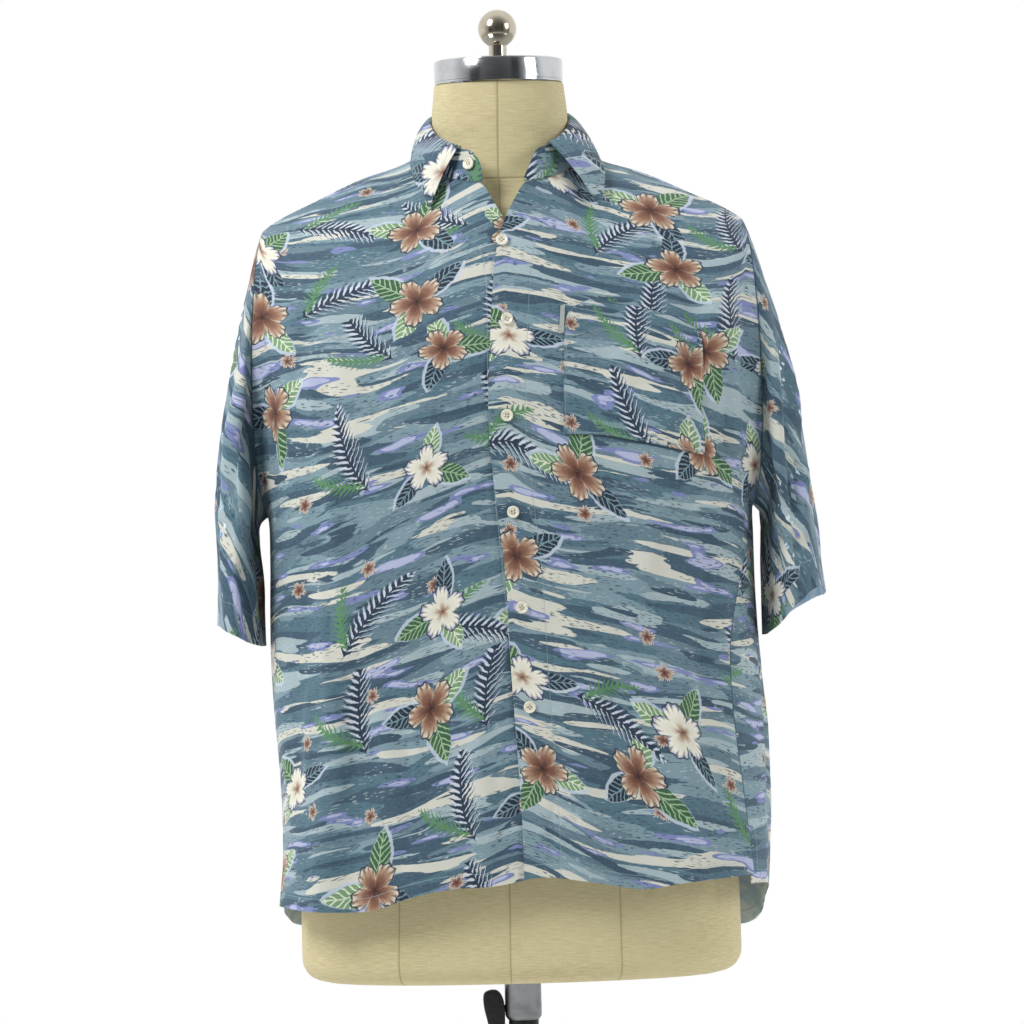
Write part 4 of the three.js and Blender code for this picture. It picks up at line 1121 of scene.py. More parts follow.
def body_flat(points: np.ndarray, front: bool) -> np.ndarray:
    """Flat places on a front or the back.

    Args:
        points: places in millimetres.
        front: whether they are measured from the front's middle.

    Returns:
        Distance along the cloth from the middle, and height along it.
    """
    x, y, z = points.T
    first, second = (FRONT_SECTION, BACK_SECTION) if front else (BACK_SECTION, FRONT_SECTION)
    depth = -y if front else y
    near = first.length(np.abs(x), depth)
    beyond = first.whole() + second.whole() - second.length(np.abs(x), -depth)
    arc = np.where(depth > 0, near, beyond) * np.sign(x)
    up = smooth_step(z, SHOULDER_START, SHOULDER_END)
    ratio = np.clip(np.abs(x) / first.half, 0, 1) ** first.square
    full = first.depth * (1 - ratio) ** (1 / first.square)
    run = SHOULDER_RUN * np.maximum(full - np.abs(y), 0)
    return np.stack([arc * (1 - up) + x * up, z + up * run], 1)


def front_flat(points: np.ndarray) -> np.ndarray:
    """Flat places measured from the front's middle.

    Args:
        points: places in millimetres.

    Returns:
        The flat places.
    """
    return body_flat(points, True)


def back_flat(points: np.ndarray) -> np.ndarray:
    """Flat places measured from the back's middle.

    Args:
        points: places in millimetres.

    Returns:
        The flat places.
    """
    return body_flat(points, False)


def sleeve_flat(points: np.ndarray) -> np.ndarray:
    """Flat places on a sleeve, measured from its outer line, forward first.

    Args:
        points: places in millimetres.

    Returns:
        The flat places.
    """
    x, y, z = points.T
    middle = np.interp(z, SLEEVE_HEIGHTS, SLEEVE_MIDDLES)
    out = np.abs(x) - middle
    quarter = SLEEVE_SECTION.length(np.abs(out), np.abs(y))
    whole = SLEEVE_SECTION.whole()
    around = np.where(out > 0, whole - quarter, whole + quarter)
    return np.stack([-np.sign(y) * around, z - 0.13 * np.maximum(out, 0)], 1)


def collar_flat(points: np.ndarray) -> np.ndarray:
    """Flat places on the collar, measured round from the back's middle.

    Args:
        points: places in millimetres.

    Returns:
        The flat places.
    """
    x, y, z = points.T
    return np.stack([np.arctan2(x, y) * 80, z + 0.35 * np.hypot(x, y)], 1)


# Cloth pieces


class Stitch(Enum):
    """Which row of stitching an edge belongs to."""

    HEM = 0
    EDGE = 1


@dataclass(frozen=True)
class TurnedEdge:
    """An edge of a piece that is turned under and stitched."""

    row: Stitch
    inset: float                                             # mm from the edge to its stitching
    belongs: Callable[[np.ndarray, np.ndarray], np.ndarray]  # picks boundary steps by middle and direction
    top: float = 2000.0                                      # height at which the stitching ends


# Where each turned edge runs, in millimetres
VENT_TOP = 740                 # height under which the shirt's lower edges are hemmed
FRONT_HEM_TOP = 715
OPENING, OPENING_HALF = 15, 34       # the front opening's middle at the hem, and half its width
PLACKET, PLACKET_HALF = 10, 36       # the same for the plackets, all the way up
NECKLINE = 1384
CUFF_TOP = 1005
LEAF_LOW, LEAF_OUT = 1402, 88        # height and distance from the neck past which the leaf is free
STEEP = 0.7                          # an edge's rise for each millimetre along it, above which it runs up


def low_edge(middles: np.ndarray, _: np.ndarray) -> np.ndarray:
    """Hems and the vents' edges. Args: middles, directions. Returns: which steps belong."""
    return (middles[:, 2] < VENT_TOP) & (np.abs(middles[:, 0] - OPENING) > OPENING_HALF)


def front_low_edge(middles: np.ndarray, steps: np.ndarray) -> np.ndarray:
    """Hems right up to the placket. Args: middles, directions. Returns: which steps belong."""
    return low_edge(middles, steps) | ((middles[:, 2] < FRONT_HEM_TOP) & (np.abs(steps[:, 2]) < STEEP))


def placket_edge(middles: np.ndarray, steps: np.ndarray) -> np.ndarray:
    """A front's free edge up to the neckline. Args: middles, directions. Returns: which steps belong."""
    inner = (np.abs(middles[:, 0] - PLACKET) < PLACKET_HALF) & (middles[:, 2] < NECKLINE)
    return inner & (np.abs(steps[:, 2]) > STEEP)


def cuff_edge(middles: np.ndarray, _: np.ndarray) -> np.ndarray:
    """A sleeve's cuff. Args: middles, directions. Returns: which steps belong."""
    return middles[:, 2] < CUFF_TOP


def collar_edge(middles: np.ndarray, _: np.ndarray) -> np.ndarray:
    """The leaf's free edge. Args: middles, directions. Returns: which steps belong."""
    radius = np.hypot(middles[:, 0], middles[:, 1] - NECK_CENTRE[1])
    return (middles[:, 2] < LEAF_LOW) | (radius > LEAF_OUT)


def pocket_top(middles: np.ndarray, steps: np.ndarray) -> np.ndarray:
    """The pocket's opening. Args: middles, directions. Returns: which steps belong."""
    high = middles[:, 2] > middles[:, 2].mean() + 25
    return high & (np.abs(steps[:, 2]) < 0.6)


def pocket_sides(middles: np.ndarray, steps: np.ndarray) -> np.ndarray:
    """The pocket's sewn edges. Args: middles, directions. Returns: which steps belong."""
    return ~pocket_top(middles, steps)


@dataclass(frozen=True)
class ClothPiece:
    """One piece of the shirt, as a thin shell on the outer face of its CAD wall."""

    node: str
    walls: tuple[float, ...]                       # the CAD wall's thicknesses, which tell its rim
    centre: tuple[float, float, float]             # a place inside, from which its outside looks away
    flat: Callable[[np.ndarray], np.ndarray]
    creases: Sequence[Crease] = ()
    edges: Sequence[TurnedEdge] = ()
    levels: int = 2
    thickness: float = 0.8
    hem_extra: float = 0.5                         # how much thicker the turned edges are
    ripple: float = 0.7
    shift: tuple[float, float] = (0.0, 0.0)        # where the print starts
    turn: float = 0.0                              # degrees that the print is turned
    droop: tuple[float, float] = (0.0, 0.0)        # how much the print falls outward, wearer's right and left
    seam_fade: float = 26.0

    def skin(self) -> bpy.types.Mesh:
        """Takes the outer face of the wall as a mesh of its own.

        Returns:
            The mesh, in metres.
        """
        bm = bmesh.new()
        bm.from_mesh(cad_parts[self.node].data)
        bmesh.ops.remove_doubles(bm, verts=bm.verts, dist=1e-5)
        lengths = {e: e.calc_length() / MM for e in bm.edges}
        rim = [f for f in bm.faces if any(abs(lengths[e] - w) < 0.012 for e in f.edges for w in self.walls)]
        bmesh.ops.delete(bm, geom=rim, context="FACES")
        centre = Vector(self.centre) * MM
        best, best_score = None, -1e9
        left = set(bm.faces)
        while left:
            island, queue = set(), [left.pop()]
            while queue:
                face = queue.pop()
                island.add(face)
                for other in (f for e in face.edges for f in e.link_faces if f in left):
                    left.discard(other)
                    queue.append(other)
            score = sum(f.normal.dot(f.calc_center_median() - centre) * f.calc_area() for f in island)
            if score > best_score:
                best, best_score = island, score
        bmesh.ops.delete(bm, geom=[f for f in bm.faces if f not in best], context="FACES")
        bmesh.ops.join_triangles(
            bm, faces=bm.faces[:], angle_face_threshold=1.2, angle_shape_threshold=1.2
        )
        mesh = bpy.data.meshes.new(self.node + "_skin")
        bm.to_mesh(mesh)
        bm.free()
        return mesh

    def divided(self) -> tuple[np.ndarray, np.ndarray, np.ndarray]:
        """Smooths the skin.

        Returns:
            Points in millimetres, their normals and the faces' corners.
        """
        obj = bpy.data.objects.new("skin", self.skin())
        bpy.context.scene.collection.objects.link(obj)
        smooth = obj.modifiers.new("smooth", "SUBSURF")
        smooth.levels = self.levels
        smooth.boundary_smooth = "PRESERVE_CORNERS"
        obj = baked(obj)
        mesh = obj.data
        points = np.zeros(len(mesh.vertices) * 3)
        normals = np.zeros(len(mesh.vertices) * 3)
        corners = np.zeros(len(mesh.polygons) * 4, int)
        mesh.vertices.foreach_get("co", points)
        mesh.vertices.foreach_get("normal", normals)
        mesh.polygons.foreach_get("vertices", corners)
        bpy.data.objects.remove(obj)
        return points.reshape(-1, 3) / MM, normals.reshape(-1, 3), corners.reshape(-1, 4)

    def lift(self, flat: np.ndarray) -> np.ndarray:
        """How far creases and ripples move the cloth out.

        Args:
            flat: flat places.

        Returns:
            Millimetres for each.
        """
        total = self.ripple * ripples(flat, RIPPLE_SPACING, 1)
        for crease in self.creases:
            total = total + crease.lift(flat)
        return total

    def build(self, right: bpy.types.Material, wrong: bpy.types.Material) -> bpy.types.Object:
        """Makes the piece.

        Args:
            right: material of its right side.
            wrong: material of its wrong side.

        Returns:
            The finished object.
        """
        points, normals, faces = self.divided()
        rim = boundary(faces)
        middles = (points[rim[:, 0]] + points[rim[:, 1]]) / 2
        steps = points[rim[:, 1]] - points[rim[:, 0]]
        steps = steps / np.linalg.norm(steps, axis=1)[:, None]
        rows = np.full((len(points), 3), FAR)
        seams = np.ones(len(rim), bool)
        for edge in self.edges:
            mine = edge.belongs(middles, steps)
            seams &= ~mine
            found = distances(points, points[rim[mine]]) - edge.inset
            found = np.where(points[:, 2] > edge.top, FAR, found)
            rows[:, edge.row.value] = np.minimum(rows[:, edge.row.value], found)
        rows[:, 2] = distances(points, points[rim[seams]])
        flat = self.flat(points)
        moved = self.lift(flat) * smooth_step(rows[:, 2], 0, self.seam_fade)
        outer = points + normals * moved[:, None]
        turned_in = np.minimum(rows[:, 0], rows[:, 1]) < 0
        thin = 0.4 + 0.6 * smooth_step(rows[:, 2], 0, 5)
        inner = outer - normals * (self.thickness * thin + self.hem_extra * turned_in)[:, None]
        count = len(points)
        loops = [f.tolist() for f in faces]
        loops += [f.tolist() for f in (faces + count)[:, ::-1]]
        loops += [[b, a, a + count, b + count] for a, b in rim.tolist()]
        obj = new_object(self.node + "_cloth", np.concatenate([outer, inner]), loops, [right, wrong], 55)
        sides = np.zeros(len(loops), np.int32)
        sides[len(faces):2 * len(faces)] = 1
        obj.data.polygons.foreach_set("material_index", sides)
        place = self.print_place(flat)
        carry(obj, "cloth", np.concatenate([place, place]))
        carry(obj, "stitch", np.concatenate([rows, rows]))
        return obj

    def print_place(self, flat: np.ndarray) -> np.ndarray:
        """Where the print is at flat places.

        Args:
            flat: flat places.

        Returns:
            Across and up the print, and 0.
        """
        across = flat[:, 0]
        reach = np.minimum(np.abs(across), 2 * BACK_SECTION.whole() - np.abs(across))
        fall = np.where(across < 0, self.droop[0], self.droop[1]) * reach
        up = flat[:, 1] + fall
        c, s = math.cos(math.radians(self.turn)), math.sin(math.radians(self.turn))
        return np.stack([
            across * c - up * s + self.shift[0],
            across * s + up * c + self.shift[1],
            np.zeros(len(flat)),
        ], 1)


def boundary(faces: np.ndarray) -> np.ndarray:
    """Edges that only one face has.

    Args:
        faces: corner numbers.

    Returns:
        Start and end of each, in its face's direction.
    """
    pairs = np.concatenate([np.stack([faces[:, i], faces[:, (i + 1) % 4]], 1) for i in range(4)])
    keys = np.sort(pairs, 1)
    _, first, counts = np.unique(keys, axis=0, return_index=True, return_counts=True)
    return pairs[first[counts == 1]]


def distances(points: np.ndarray, segments: np.ndarray) -> np.ndarray:
    """Distance from each point to the nearest of some segments.

    Args:
        points: places.
        segments: two ends each.

    Returns:
        Millimetres, at most FAR.
    """
    best = np.full(len(points), FAR)
    for start, end in segments:
        step = end - start
        t = np.clip((points - start) @ step / (step @ step), 0, 1)
        gap = np.linalg.norm(points - start - t[:, None] * step, axis=1)
        best = np.minimum(best, gap)
    return best


BODY_CENTRE = (0.0, 0.0, 1120.0)
NECK_CENTRE = (0.0, 4.0, 1380.0)
BODY_HEM = TurnedEdge(Stitch.HEM, 13.0, front_low_edge)
BACK_HEM = TurnedEdge(Stitch.HEM, 13.0, low_edge)
PLACKET_EDGE = TurnedEdge(Stitch.EDGE, 36.0, placket_edge, 1330.0)
CUFF = TurnedEdge(Stitch.HEM, 28.0, cuff_edge)
LEAF_EDGE = TurnedEdge(Stitch.EDGE, 6.0, collar_edge)
BODY_DROOP = (0.25, 0.30)

SHIRT = {
    "front_left": ClothPiece(
        "front_left", (1.6,), BODY_CENTRE, front_flat, FRONT_CREASES, [BODY_HEM, PLACKET_EDGE],
        shift=(37, 12), droop=BODY_DROOP,
    ),
    "front_right": ClothPiece(
        "front_right", (1.6,), BODY_CENTRE, front_flat, FRONT_CREASES, [BODY_HEM, PLACKET_EDGE],
        shift=(-420, 60), droop=BODY_DROOP,
    ),
    "back": ClothPiece(
        "back", (1.6,), BODY_CENTRE, back_flat, BACK_CREASES, [BACK_HEM],
        shift=(900, 140), droop=(0.2, 0.2),
    ),
    "sleeve_left": ClothPiece(
        "sleeve_left", (1.6,), (270.0, 4.0, 1100.0), sleeve_flat, SLEEVE_LEFT_CREASES, [CUFF],
        shift=(1500, 90), turn=-58,
    ),
    "sleeve_right": ClothPiece(
        "sleeve_right", (1.6,), (-270.0, 4.0, 1100.0), sleeve_flat, SLEEVE_RIGHT_CREASES, [CUFF],
        shift=(2100, 20), turn=58,
    ),
    "collar_stand": ClothPiece(
        "collar_stand", (1.6,), NECK_CENTRE, collar_flat, ripple=0.1, shift=(2600, 0), seam_fade=8.0,
    ),
    "collar_leaf": ClothPiece(
        "collar_leaf", (1.6, 1.8), NECK_CENTRE, collar_flat, LEAF_CREASES, [LEAF_EDGE],
        thickness=0.8, hem_extra=0.0, ripple=0.15, shift=(3000, 40), seam_fade=10.0,
    ),
    "pocket": ClothPiece(
        "pocket", (1.4,), BODY_CENTRE, front_flat, FRONT_CREASES,
        [TurnedEdge(Stitch.HEM, 30.0, pocket_top), TurnedEdge(Stitch.EDGE, 1.8, pocket_sides)],
        shift=(52, 30), droop=BODY_DROOP,
    ),
    "pocket_label": ClothPiece(
        "pocket_label", (1.0,), BODY_CENTRE, front_flat, FRONT_CREASES, thickness=0.7, ripple=0.0,
    ),
}


# Buttons


@dataclass
class Button:
    """A four hole shirt button, modelled once and copied to each place."""

    radius: float = 6.0
    thick: float = 2.6
    rim: float = 1.3
    dish: float = 0.7
    hole: float = 0.85
    hole_ring: float = 1.75
    sides: int = 48
    thread_radius: float = 0.42
    thread_sides: int = 8
    thread_steps: int = 12         # bends of one bar of thread

    def model(self) -> tuple[bpy.types.Mesh, bpy.types.Mesh]:
        """Models the button and its thread, lying on z = 0 with its face up.

        Returns:
            The button's mesh and the thread's.
        """
        r, t = self.radius, self.thick
        profile = [
            (0.0, 0.0), (r - 1.6, 0.0), (r - 0.7, 0.25), (r - 0.15, 0.8), (r, 1.4), (r - 0.15, t - 0.55),
            (r - 0.5, t - 0.12), (r - 0.9, t), (r - self.rim - 0.1, t - 0.12), (r - self.rim - 0.6, t - 0.5),
            (r - self.rim - 1.2, t - self.dish), (0.0, t - self.dish),
        ]
        disc = turned_object("button_model", profile, self.sides, [SHELL.material()])
        aside = self.hole_ring / 1.414
        spots = [(-aside, -aside), (-aside, aside), (aside, -aside), (aside, aside)]
        bit = [(0, -1), (self.hole, -1), (self.hole, t + 1), (0, t + 1)]
        for spot in spots:
            drill = turned_object("drill", bit, 20, [], spot)
            cut = disc.modifiers.new("hole", "BOOLEAN")
            cut.operation = "DIFFERENCE"
            cut.solver = "EXACT"
            cut.object = drill
            disc = baked(disc)
            bpy.data.objects.remove(drill)
        shaded(disc.data, 40)
        thread = self.thread(spots)
        meshes = disc.data, thread.data
        bpy.data.objects.remove(disc)
        bpy.data.objects.remove(thread)
        return meshes

    def thread(self, spots: Sequence[tuple[float, float]]) -> bpy.types.Object:
        """Two bars of thread between the holes.

        Args:
            spots: the holes' middles.

        Returns:
            The thread.
        """
        points, faces = [], []
        top = self.thick - self.dish
        for side in (-1, 1):
            x, reach = side * abs(spots[0][0]), abs(spots[0][1])
            start, sides = len(points), self.thread_sides
            for j in range(self.thread_steps + 1):
                bend = math.pi * j / self.thread_steps
                y, z = -reach * math.cos(bend), top - 0.7 + 1.15 * math.sin(bend) ** 0.6
                for k in range(sides):
                    a, r = FULL_TURN * k / sides, self.thread_radius
                    points.append((x + r * math.cos(a), y, z + r * math.sin(a)))
            for j in range(self.thread_steps):
                for k in range(sides):
                    a, b = start + j * sides + k, start + j * sides + (k + 1) % sides
                    faces.append([a, a + sides, b + sides, b])
            faces.append([start + k for k in range(sides)])
            faces.append([start + self.thread_steps * sides + k for k in reversed(range(sides))])
        return new_object("thread_model", np.array(points), faces, [THREAD.material()], 60)


def turned_object(
    name: str,
    profile: Sequence[tuple[float, float]],
    sides: int,
    materials: Sequence[bpy.types.Material],
    centre: tuple[float, float] = (0.0, 0.0),
) -> bpy.types.Object:
    """Turns a profile round an upright axis.

    Args:
        name: the object's name.
        profile: radius and height from the foot outward and up, ends on the axis or closed.
        sides: how many sides.
        materials: its materials.
        centre: where the axis stands.

    Returns:
        The object.
    """
    points, faces, rings = [], [], []
    angles = np.linspace(0, FULL_TURN, sides, endpoint=False)
    for radius, z in profile:
        start = len(points)
        if radius <= 1e-6:
            points.append((centre[0], centre[1], z))
            rings.append([start] * sides)
        else:
            across, deep = radius * np.cos(angles), radius * np.sin(angles)
            points += [(centre[0] + x, centre[1] + y, z) for x, y in zip(across, deep)]
            rings.append([start + k for k in range(sides)])
    for low, high in zip(rings, rings[1:]):
        for k in range(sides):
            m = (k + 1) % sides
            corners = [low[k], low[m], high[m], high[k]]
            kept = [c for i, c in enumerate(corners) if c != corners[i - 1]]
            faces.append(kept)
    return new_object(name, np.array(points), faces, materials)


def place_buttons(cloth: dict[str, ClothPiece]) -> list[bpy.types.Object]:
    """Copies the button to each CAD button's place, moved with the cloth's creases.

    Args:
        cloth: the shirt's pieces.

    Returns:
        Buttons and threads, in pairs.
    """
    button, thread = Button().model()
    made = []
    for number in range(1, LAST_BUTTON + 1):
        name = f"button_{number}"
        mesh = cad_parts[name].data
        places = np.array([v.co for v in mesh.vertices]) / MM
        middle = (places.min(0) + places.max(0)) / 2
        _, _, axes = np.linalg.svd(places - places.mean(0), full_matrices=False)
        normal = axes[2] * (1 if axes[2][1] < 0 else -1)
        back = middle - normal * Button.thick / 2
        owner = cloth["front_left" if number > 1 else "collar_stand"]
        lift = 0.0
        if number > 1:
            lift = float(owner.lift(owner.flat(back[None, :]))[0])
        back = back + normal * (lift + 0.1)
        roll = Matrix.Rotation(0.35 * number, 4, "Z")
        aim = Vector(normal).to_track_quat("Z", "Y").to_matrix().to_4x4()
        move = Matrix.Translation(Vector(back) * MM) @ aim @ roll
        for part, label in ((button, ""), (thread, "_thread")):
            copy = part.copy()
            copy.transform(move)
            obj = bpy.data.objects.new(name + "_pearl" + label, copy)
            bpy.context.scene.collection.objects.link(obj)
            made.append(obj)
    return made


# Dress form and stand


@dataclass
class DressForm:
    """Limbless torso in linen, its polished cap and ball."""

    rows: Sequence[tuple[float, float, float, float, float]] = (
        # height, half width, depth in front, depth behind, squareness
        (600, 196, 104, 111, 2.3), (603.5, 208, 115, 121, 2.3), (611, 216, 122, 128, 2.3),
        (626, 219.5, 125, 131, 2.3), (680, 219, 125, 132, 2.3), (770, 212, 121, 129, 2.3),
        (860, 197, 115, 118, 2.3), (950, 184, 110, 108, 2.3), (1050, 185, 113, 112, 2.3),
        (1130, 190, 120, 122, 2.3), (1210, 195, 123, 130, 2.2), (1275, 196, 117, 129, 2.0),
        (1318, 193, 107, 121, 1.85), (1345, 184, 95, 106, 1.75), (1364, 162, 83, 95, 1.75),
        (1379, 129, 73, 86, 1.85), (1392, 99, 67, 79, 2.0), (1405, 80, 64, 74, 2.0),
        (1420, 72, 62, 71, 2.0), (1438, 68.2, 60, 67.5, 2.0), (1460, 67.7, 59.5, 66.5, 2.0),
        (1490, 64.5, 58, 65, 2.0),
    )
    sides: int = 144
    steps: int = 6                 # rows between two rows of the table
    bore: float = 15.6
    bore_top: float = 1030.0
    cap_radius: float = 64.3
    cap_foot: float = 1490.3
    cap_top: float = 1515.0
    neck_y: float = 3.0
    ball_radius: float = 19.2
    ball_z: float = 1546.6
    post_radius: float = 9.0

    def sections(self) -> np.ndarray:
        """Fills in rows between those of the table on smooth curves.

        Returns:
            One row a section.
        """
        table = np.array(self.rows, float)
        slopes = np.gradient(table, axis=0)
        steps = np.diff(table, axis=0)
        for k in range(len(table)):
            before = steps[max(k - 1, 0)]
            after = steps[min(k, len(steps) - 1)]
            limit = 2 * np.minimum(np.abs(before), np.abs(after))
            slope = np.sign(after) * np.minimum(np.abs(slopes[k]), limit)
            slopes[k] = np.where(before * after <= 0, 0, slope)
        out = []
        for k in range(len(steps)):
            for t in np.arange(self.steps) / self.steps:
                a, b = table[k], table[k + 1]
                out.append(
                    (1 + 2 * t) * (1 - t) ** 2 * a + t * (1 - t) ** 2 * slopes[k]
                    + t * t * (3 - 2 * t) * b - t * t * (1 - t) * slopes[k + 1]
                )
        return np.array(out + [table[-1]])

    def torso(self) -> bpy.types.Object:
        """Builds the torso with its bore. Returns: the object."""
        angles = np.linspace(0, FULL_TURN, self.sides, endpoint=False)
        c, s = np.cos(angles), np.sin(angles)
        rings, maps = [], []

        def ring(half: float, front: float, back: float, square: float, z: float) -> np.ndarray:
            """One section. Args: its sizes and height. Returns: its points."""
            power = 2 / square
            depth = np.where(s < 0, front, back)
            x = half * np.sign(c) * np.abs(c) ** power
            y = depth * np.sign(s) * np.abs(s) ** power
            return np.stack([x, y, np.full(self.sides, z)], 1)

        bore = [self.bore] * 3
        rings.append(ring(*bore, 2.0, self.bore_top))
        rings.append(ring(*bore, 2.0, 601.0))
        rings.append(ring(16.4, 16.4, 16.4, 2.0, 600.0))
        first = self.sections()[0]
        rings.append(ring(first[1] * 0.6, first[2] * 0.6, first[3] * 0.6, 2.2, 600.0))
        for z, half, front, back, square in self.sections():
            rings.append(ring(half, front, back, square, z))
        points = np.concatenate(rings + [np.array([[0, 0, self.rows[-1][0]], [0, 0, self.bore_top]])])
        girth = Section(200, 120, 2.2)
        for block in rings:
            x, y = block[:, 0], block[:, 1]
            width = np.abs(block[:, 0]).max() / 200
            arc = girth.length(np.abs(x) / width, np.abs(y) / width) * width
            maps.append(np.stack([arc * np.sign(x + 1e-9), block[:, 2], np.zeros(self.sides)], 1))
        faces = []
        for j in range(len(rings) - 1):
            for k in range(self.sides):
                m = (k + 1) % self.sides
                a, b = j * self.sides, (j + 1) * self.sides
                faces.append([a + k, a + m, b + m, b + k])
        top = (len(rings) - 1) * self.sides
        crown, inside = len(points) - 2, len(points) - 1
        for k in range(self.sides):
            m = (k + 1) % self.sides
            faces.append([crown, top + k, top + m])
            faces.append([inside, m, k])
        obj = new_object("form_torso", points, faces, [Linen().material()])
        carry(obj, "cloth", np.concatenate(maps + [np.zeros((2, 3))]))
        return obj

    def cap(self) -> bpy.types.Object:
        """Builds the polished cap on the neck. Returns: the object."""
        r, z0, z1 = self.cap_radius, self.cap_foot, self.cap_top
        profile = [(0, z0), (r - 1.2, z0), (r, z0 + 1.2), (r, z0 + 3.2), (r - 0.35, z0 + 3.5), (r, z0 + 3.8)]
        profile += [(r, z1 - 2.2), (r - 0.6, z1 - 0.8), (r - 2, z1 - 0.1), (r - 10, z1), (0, z1)]
        return turned_object("form_cap", profile, 128, [BRIGHT_STEEL.material()], (0, self.neck_y))

    def ball(self) -> bpy.types.Object:
        """Builds the ball on its post. Returns: the object."""
        foot = self.cap_top + 0.35
        post = self.post_radius
        meet = math.asin(post / self.ball_radius)
        profile = [(0, foot), (post + 1.4, foot), (post + 1.4, foot + 1.2), (post, foot + 2.6)]
        for k in range(33):
            angle = math.pi - meet - (math.pi - meet) * k / 32
            radius = 0.0 if k == 32 else self.ball_radius * math.sin(angle)
            profile.append((radius, self.ball_z + self.ball_radius * math.cos(angle)))
        return turned_object("form_ball", profile, 72, [BALL_STEEL.material()], (0, self.neck_y))


@dataclass
class Stand:
    """Tube under the form with its clamp lever, and the pole in its base."""

    tube_outer: float = 18.3
    tube_inner: float = 15.3
    tube_foot: float = 556.0
    tube_top: float = 599.65
    flange: float = 46.0
    lever_z: float = 567.0
    lever_thick: float = 16.0
    pole_radius: float = 15.0
    pole_top: float = 870.0
    base_radius: float = 190.0
    lever_outline: Sequence[tuple[float, float]] = (
        (-26, 585), (-19.2, 573), (-18.9, 548), (-21, 524), (-25, 510), (-31, 509),
        (-33, 530), (-35.5, 551), (-39.5, 570), (-38.5, 583),
    )

    def tube(self) -> bpy.types.Object:
        """Builds the tube and its flange. Returns: the object."""
        o, i, z0, z1 = self.tube_outer, self.tube_inner, self.tube_foot, self.tube_top
        profile = [
            (i, z1), (i, z0 + 0.6), (i + 0.5, z0), (o - 2.5, z0), (o - 0.4, z0 + 3.2), (o, z0 + 5),
            (o, z1 - 5.2), (o + 0.7, z1 - 4), (o + 2.2, z1 - 3), (self.flange - 0.6, z1 - 3),
            (self.flange, z1 - 2.4), (self.flange, z1), (i, z1),
        ]
        return turned_object("stand_tube", profile, 96, [GREY_STEEL.material()])

    def lever(self) -> bpy.types.Object:
        """Builds the clamp lever and its screw. Returns: the object."""
        outline = smooth_loop(np.array(self.lever_outline, float), 5)
        half = self.lever_thick / 2
        count = len(outline)
        points = [(x, -half, z) for x, z in outline] + [(x, half, z) for x, z in outline]
        faces = [list(range(count)), [count + k for k in reversed(range(count))]]
        faces += [[k, k + count, (k + 1) % count + count, (k + 1) % count] for k in range(count)]
        grip = bevelled(new_object("lever_grip", np.array(points), faces, [PLASTIC.material()]), 2.2, 4)
        screw = turned_object("screw", [(0, 0), (3.6, 0), (3.6, 11.2), (0, 11.2)], 32, [])
        sideways = Matrix.Rotation(math.pi / 2, 4, "Y")
        screw.data.transform(Matrix.Translation((-26.6 * MM, 0, self.lever_z * MM)) @ sideways)
        join_cut = grip.modifiers.new("screw", "BOOLEAN")
        join_cut.operation = "UNION"
        join_cut.solver = "EXACT"
        join_cut.object = screw
        grip = baked(grip)
        bpy.data.objects.remove(screw)
        grip.name = "stand_lever"
        return grip

    def pole(self) -> bpy.types.Object:
        """Builds the pole. Returns: the object."""
        r, z1 = self.pole_radius, self.pole_top
        profile = [(0, 10.3), (r - 0.8, 10.3), (r, 11.1), (r, z1 - 1.5), (r - 1.5, z1), (0, z1)]
        return turned_object("stand_pole", profile, 72, [BLACK_STEEL.material()])

    def base(self) -> bpy.types.Object:
        """Builds the round base with its socket. Returns: the object."""
        r, socket = self.base_radius, self.pole_radius + 0.3
        profile = [
            (0, 0), (r - 1.5, 0), (r - 0.4, 0.4), (r, 1.5), (r, 4), (r - 0.5, 5.2), (r - 2, 6), (r - 8, 6.4),
            (60, 9.7), (53, 10), (30, 11.4), (27, 12), (24.2, 13.6), (23, 16), (23, 42.2), (22.4, 43.5),
            (21.4, 44), (socket + 0.7, 44), (socket, 43.3), (socket, 10), (0, 10),
        ]
        return turned_object("stand_base", profile, 160, [BLACK_STEEL.material()])


def smooth_loop(points: np.ndarray, steps: int) -> np.ndarray:
    """Rounds a closed outline through its points.

    Args:
        points: the outline.
        steps: places between two of them.

    Returns:
        The finer outline.
    """
    out = []
    count = len(points)
    for k in range(count):
        a, b, c, d = (points[(k + i) % count] for i in (-1, 0, 1, 2))
        for t in np.arange(steps) / steps:
            bend, twist = 2 * a - 5 * b + 4 * c - d, 3 * b - a - 3 * c + d
            out.append(0.5 * (2 * b + (c - a) * t + bend * t * t + twist * t ** 3))
    return np.array(out)


# Studio


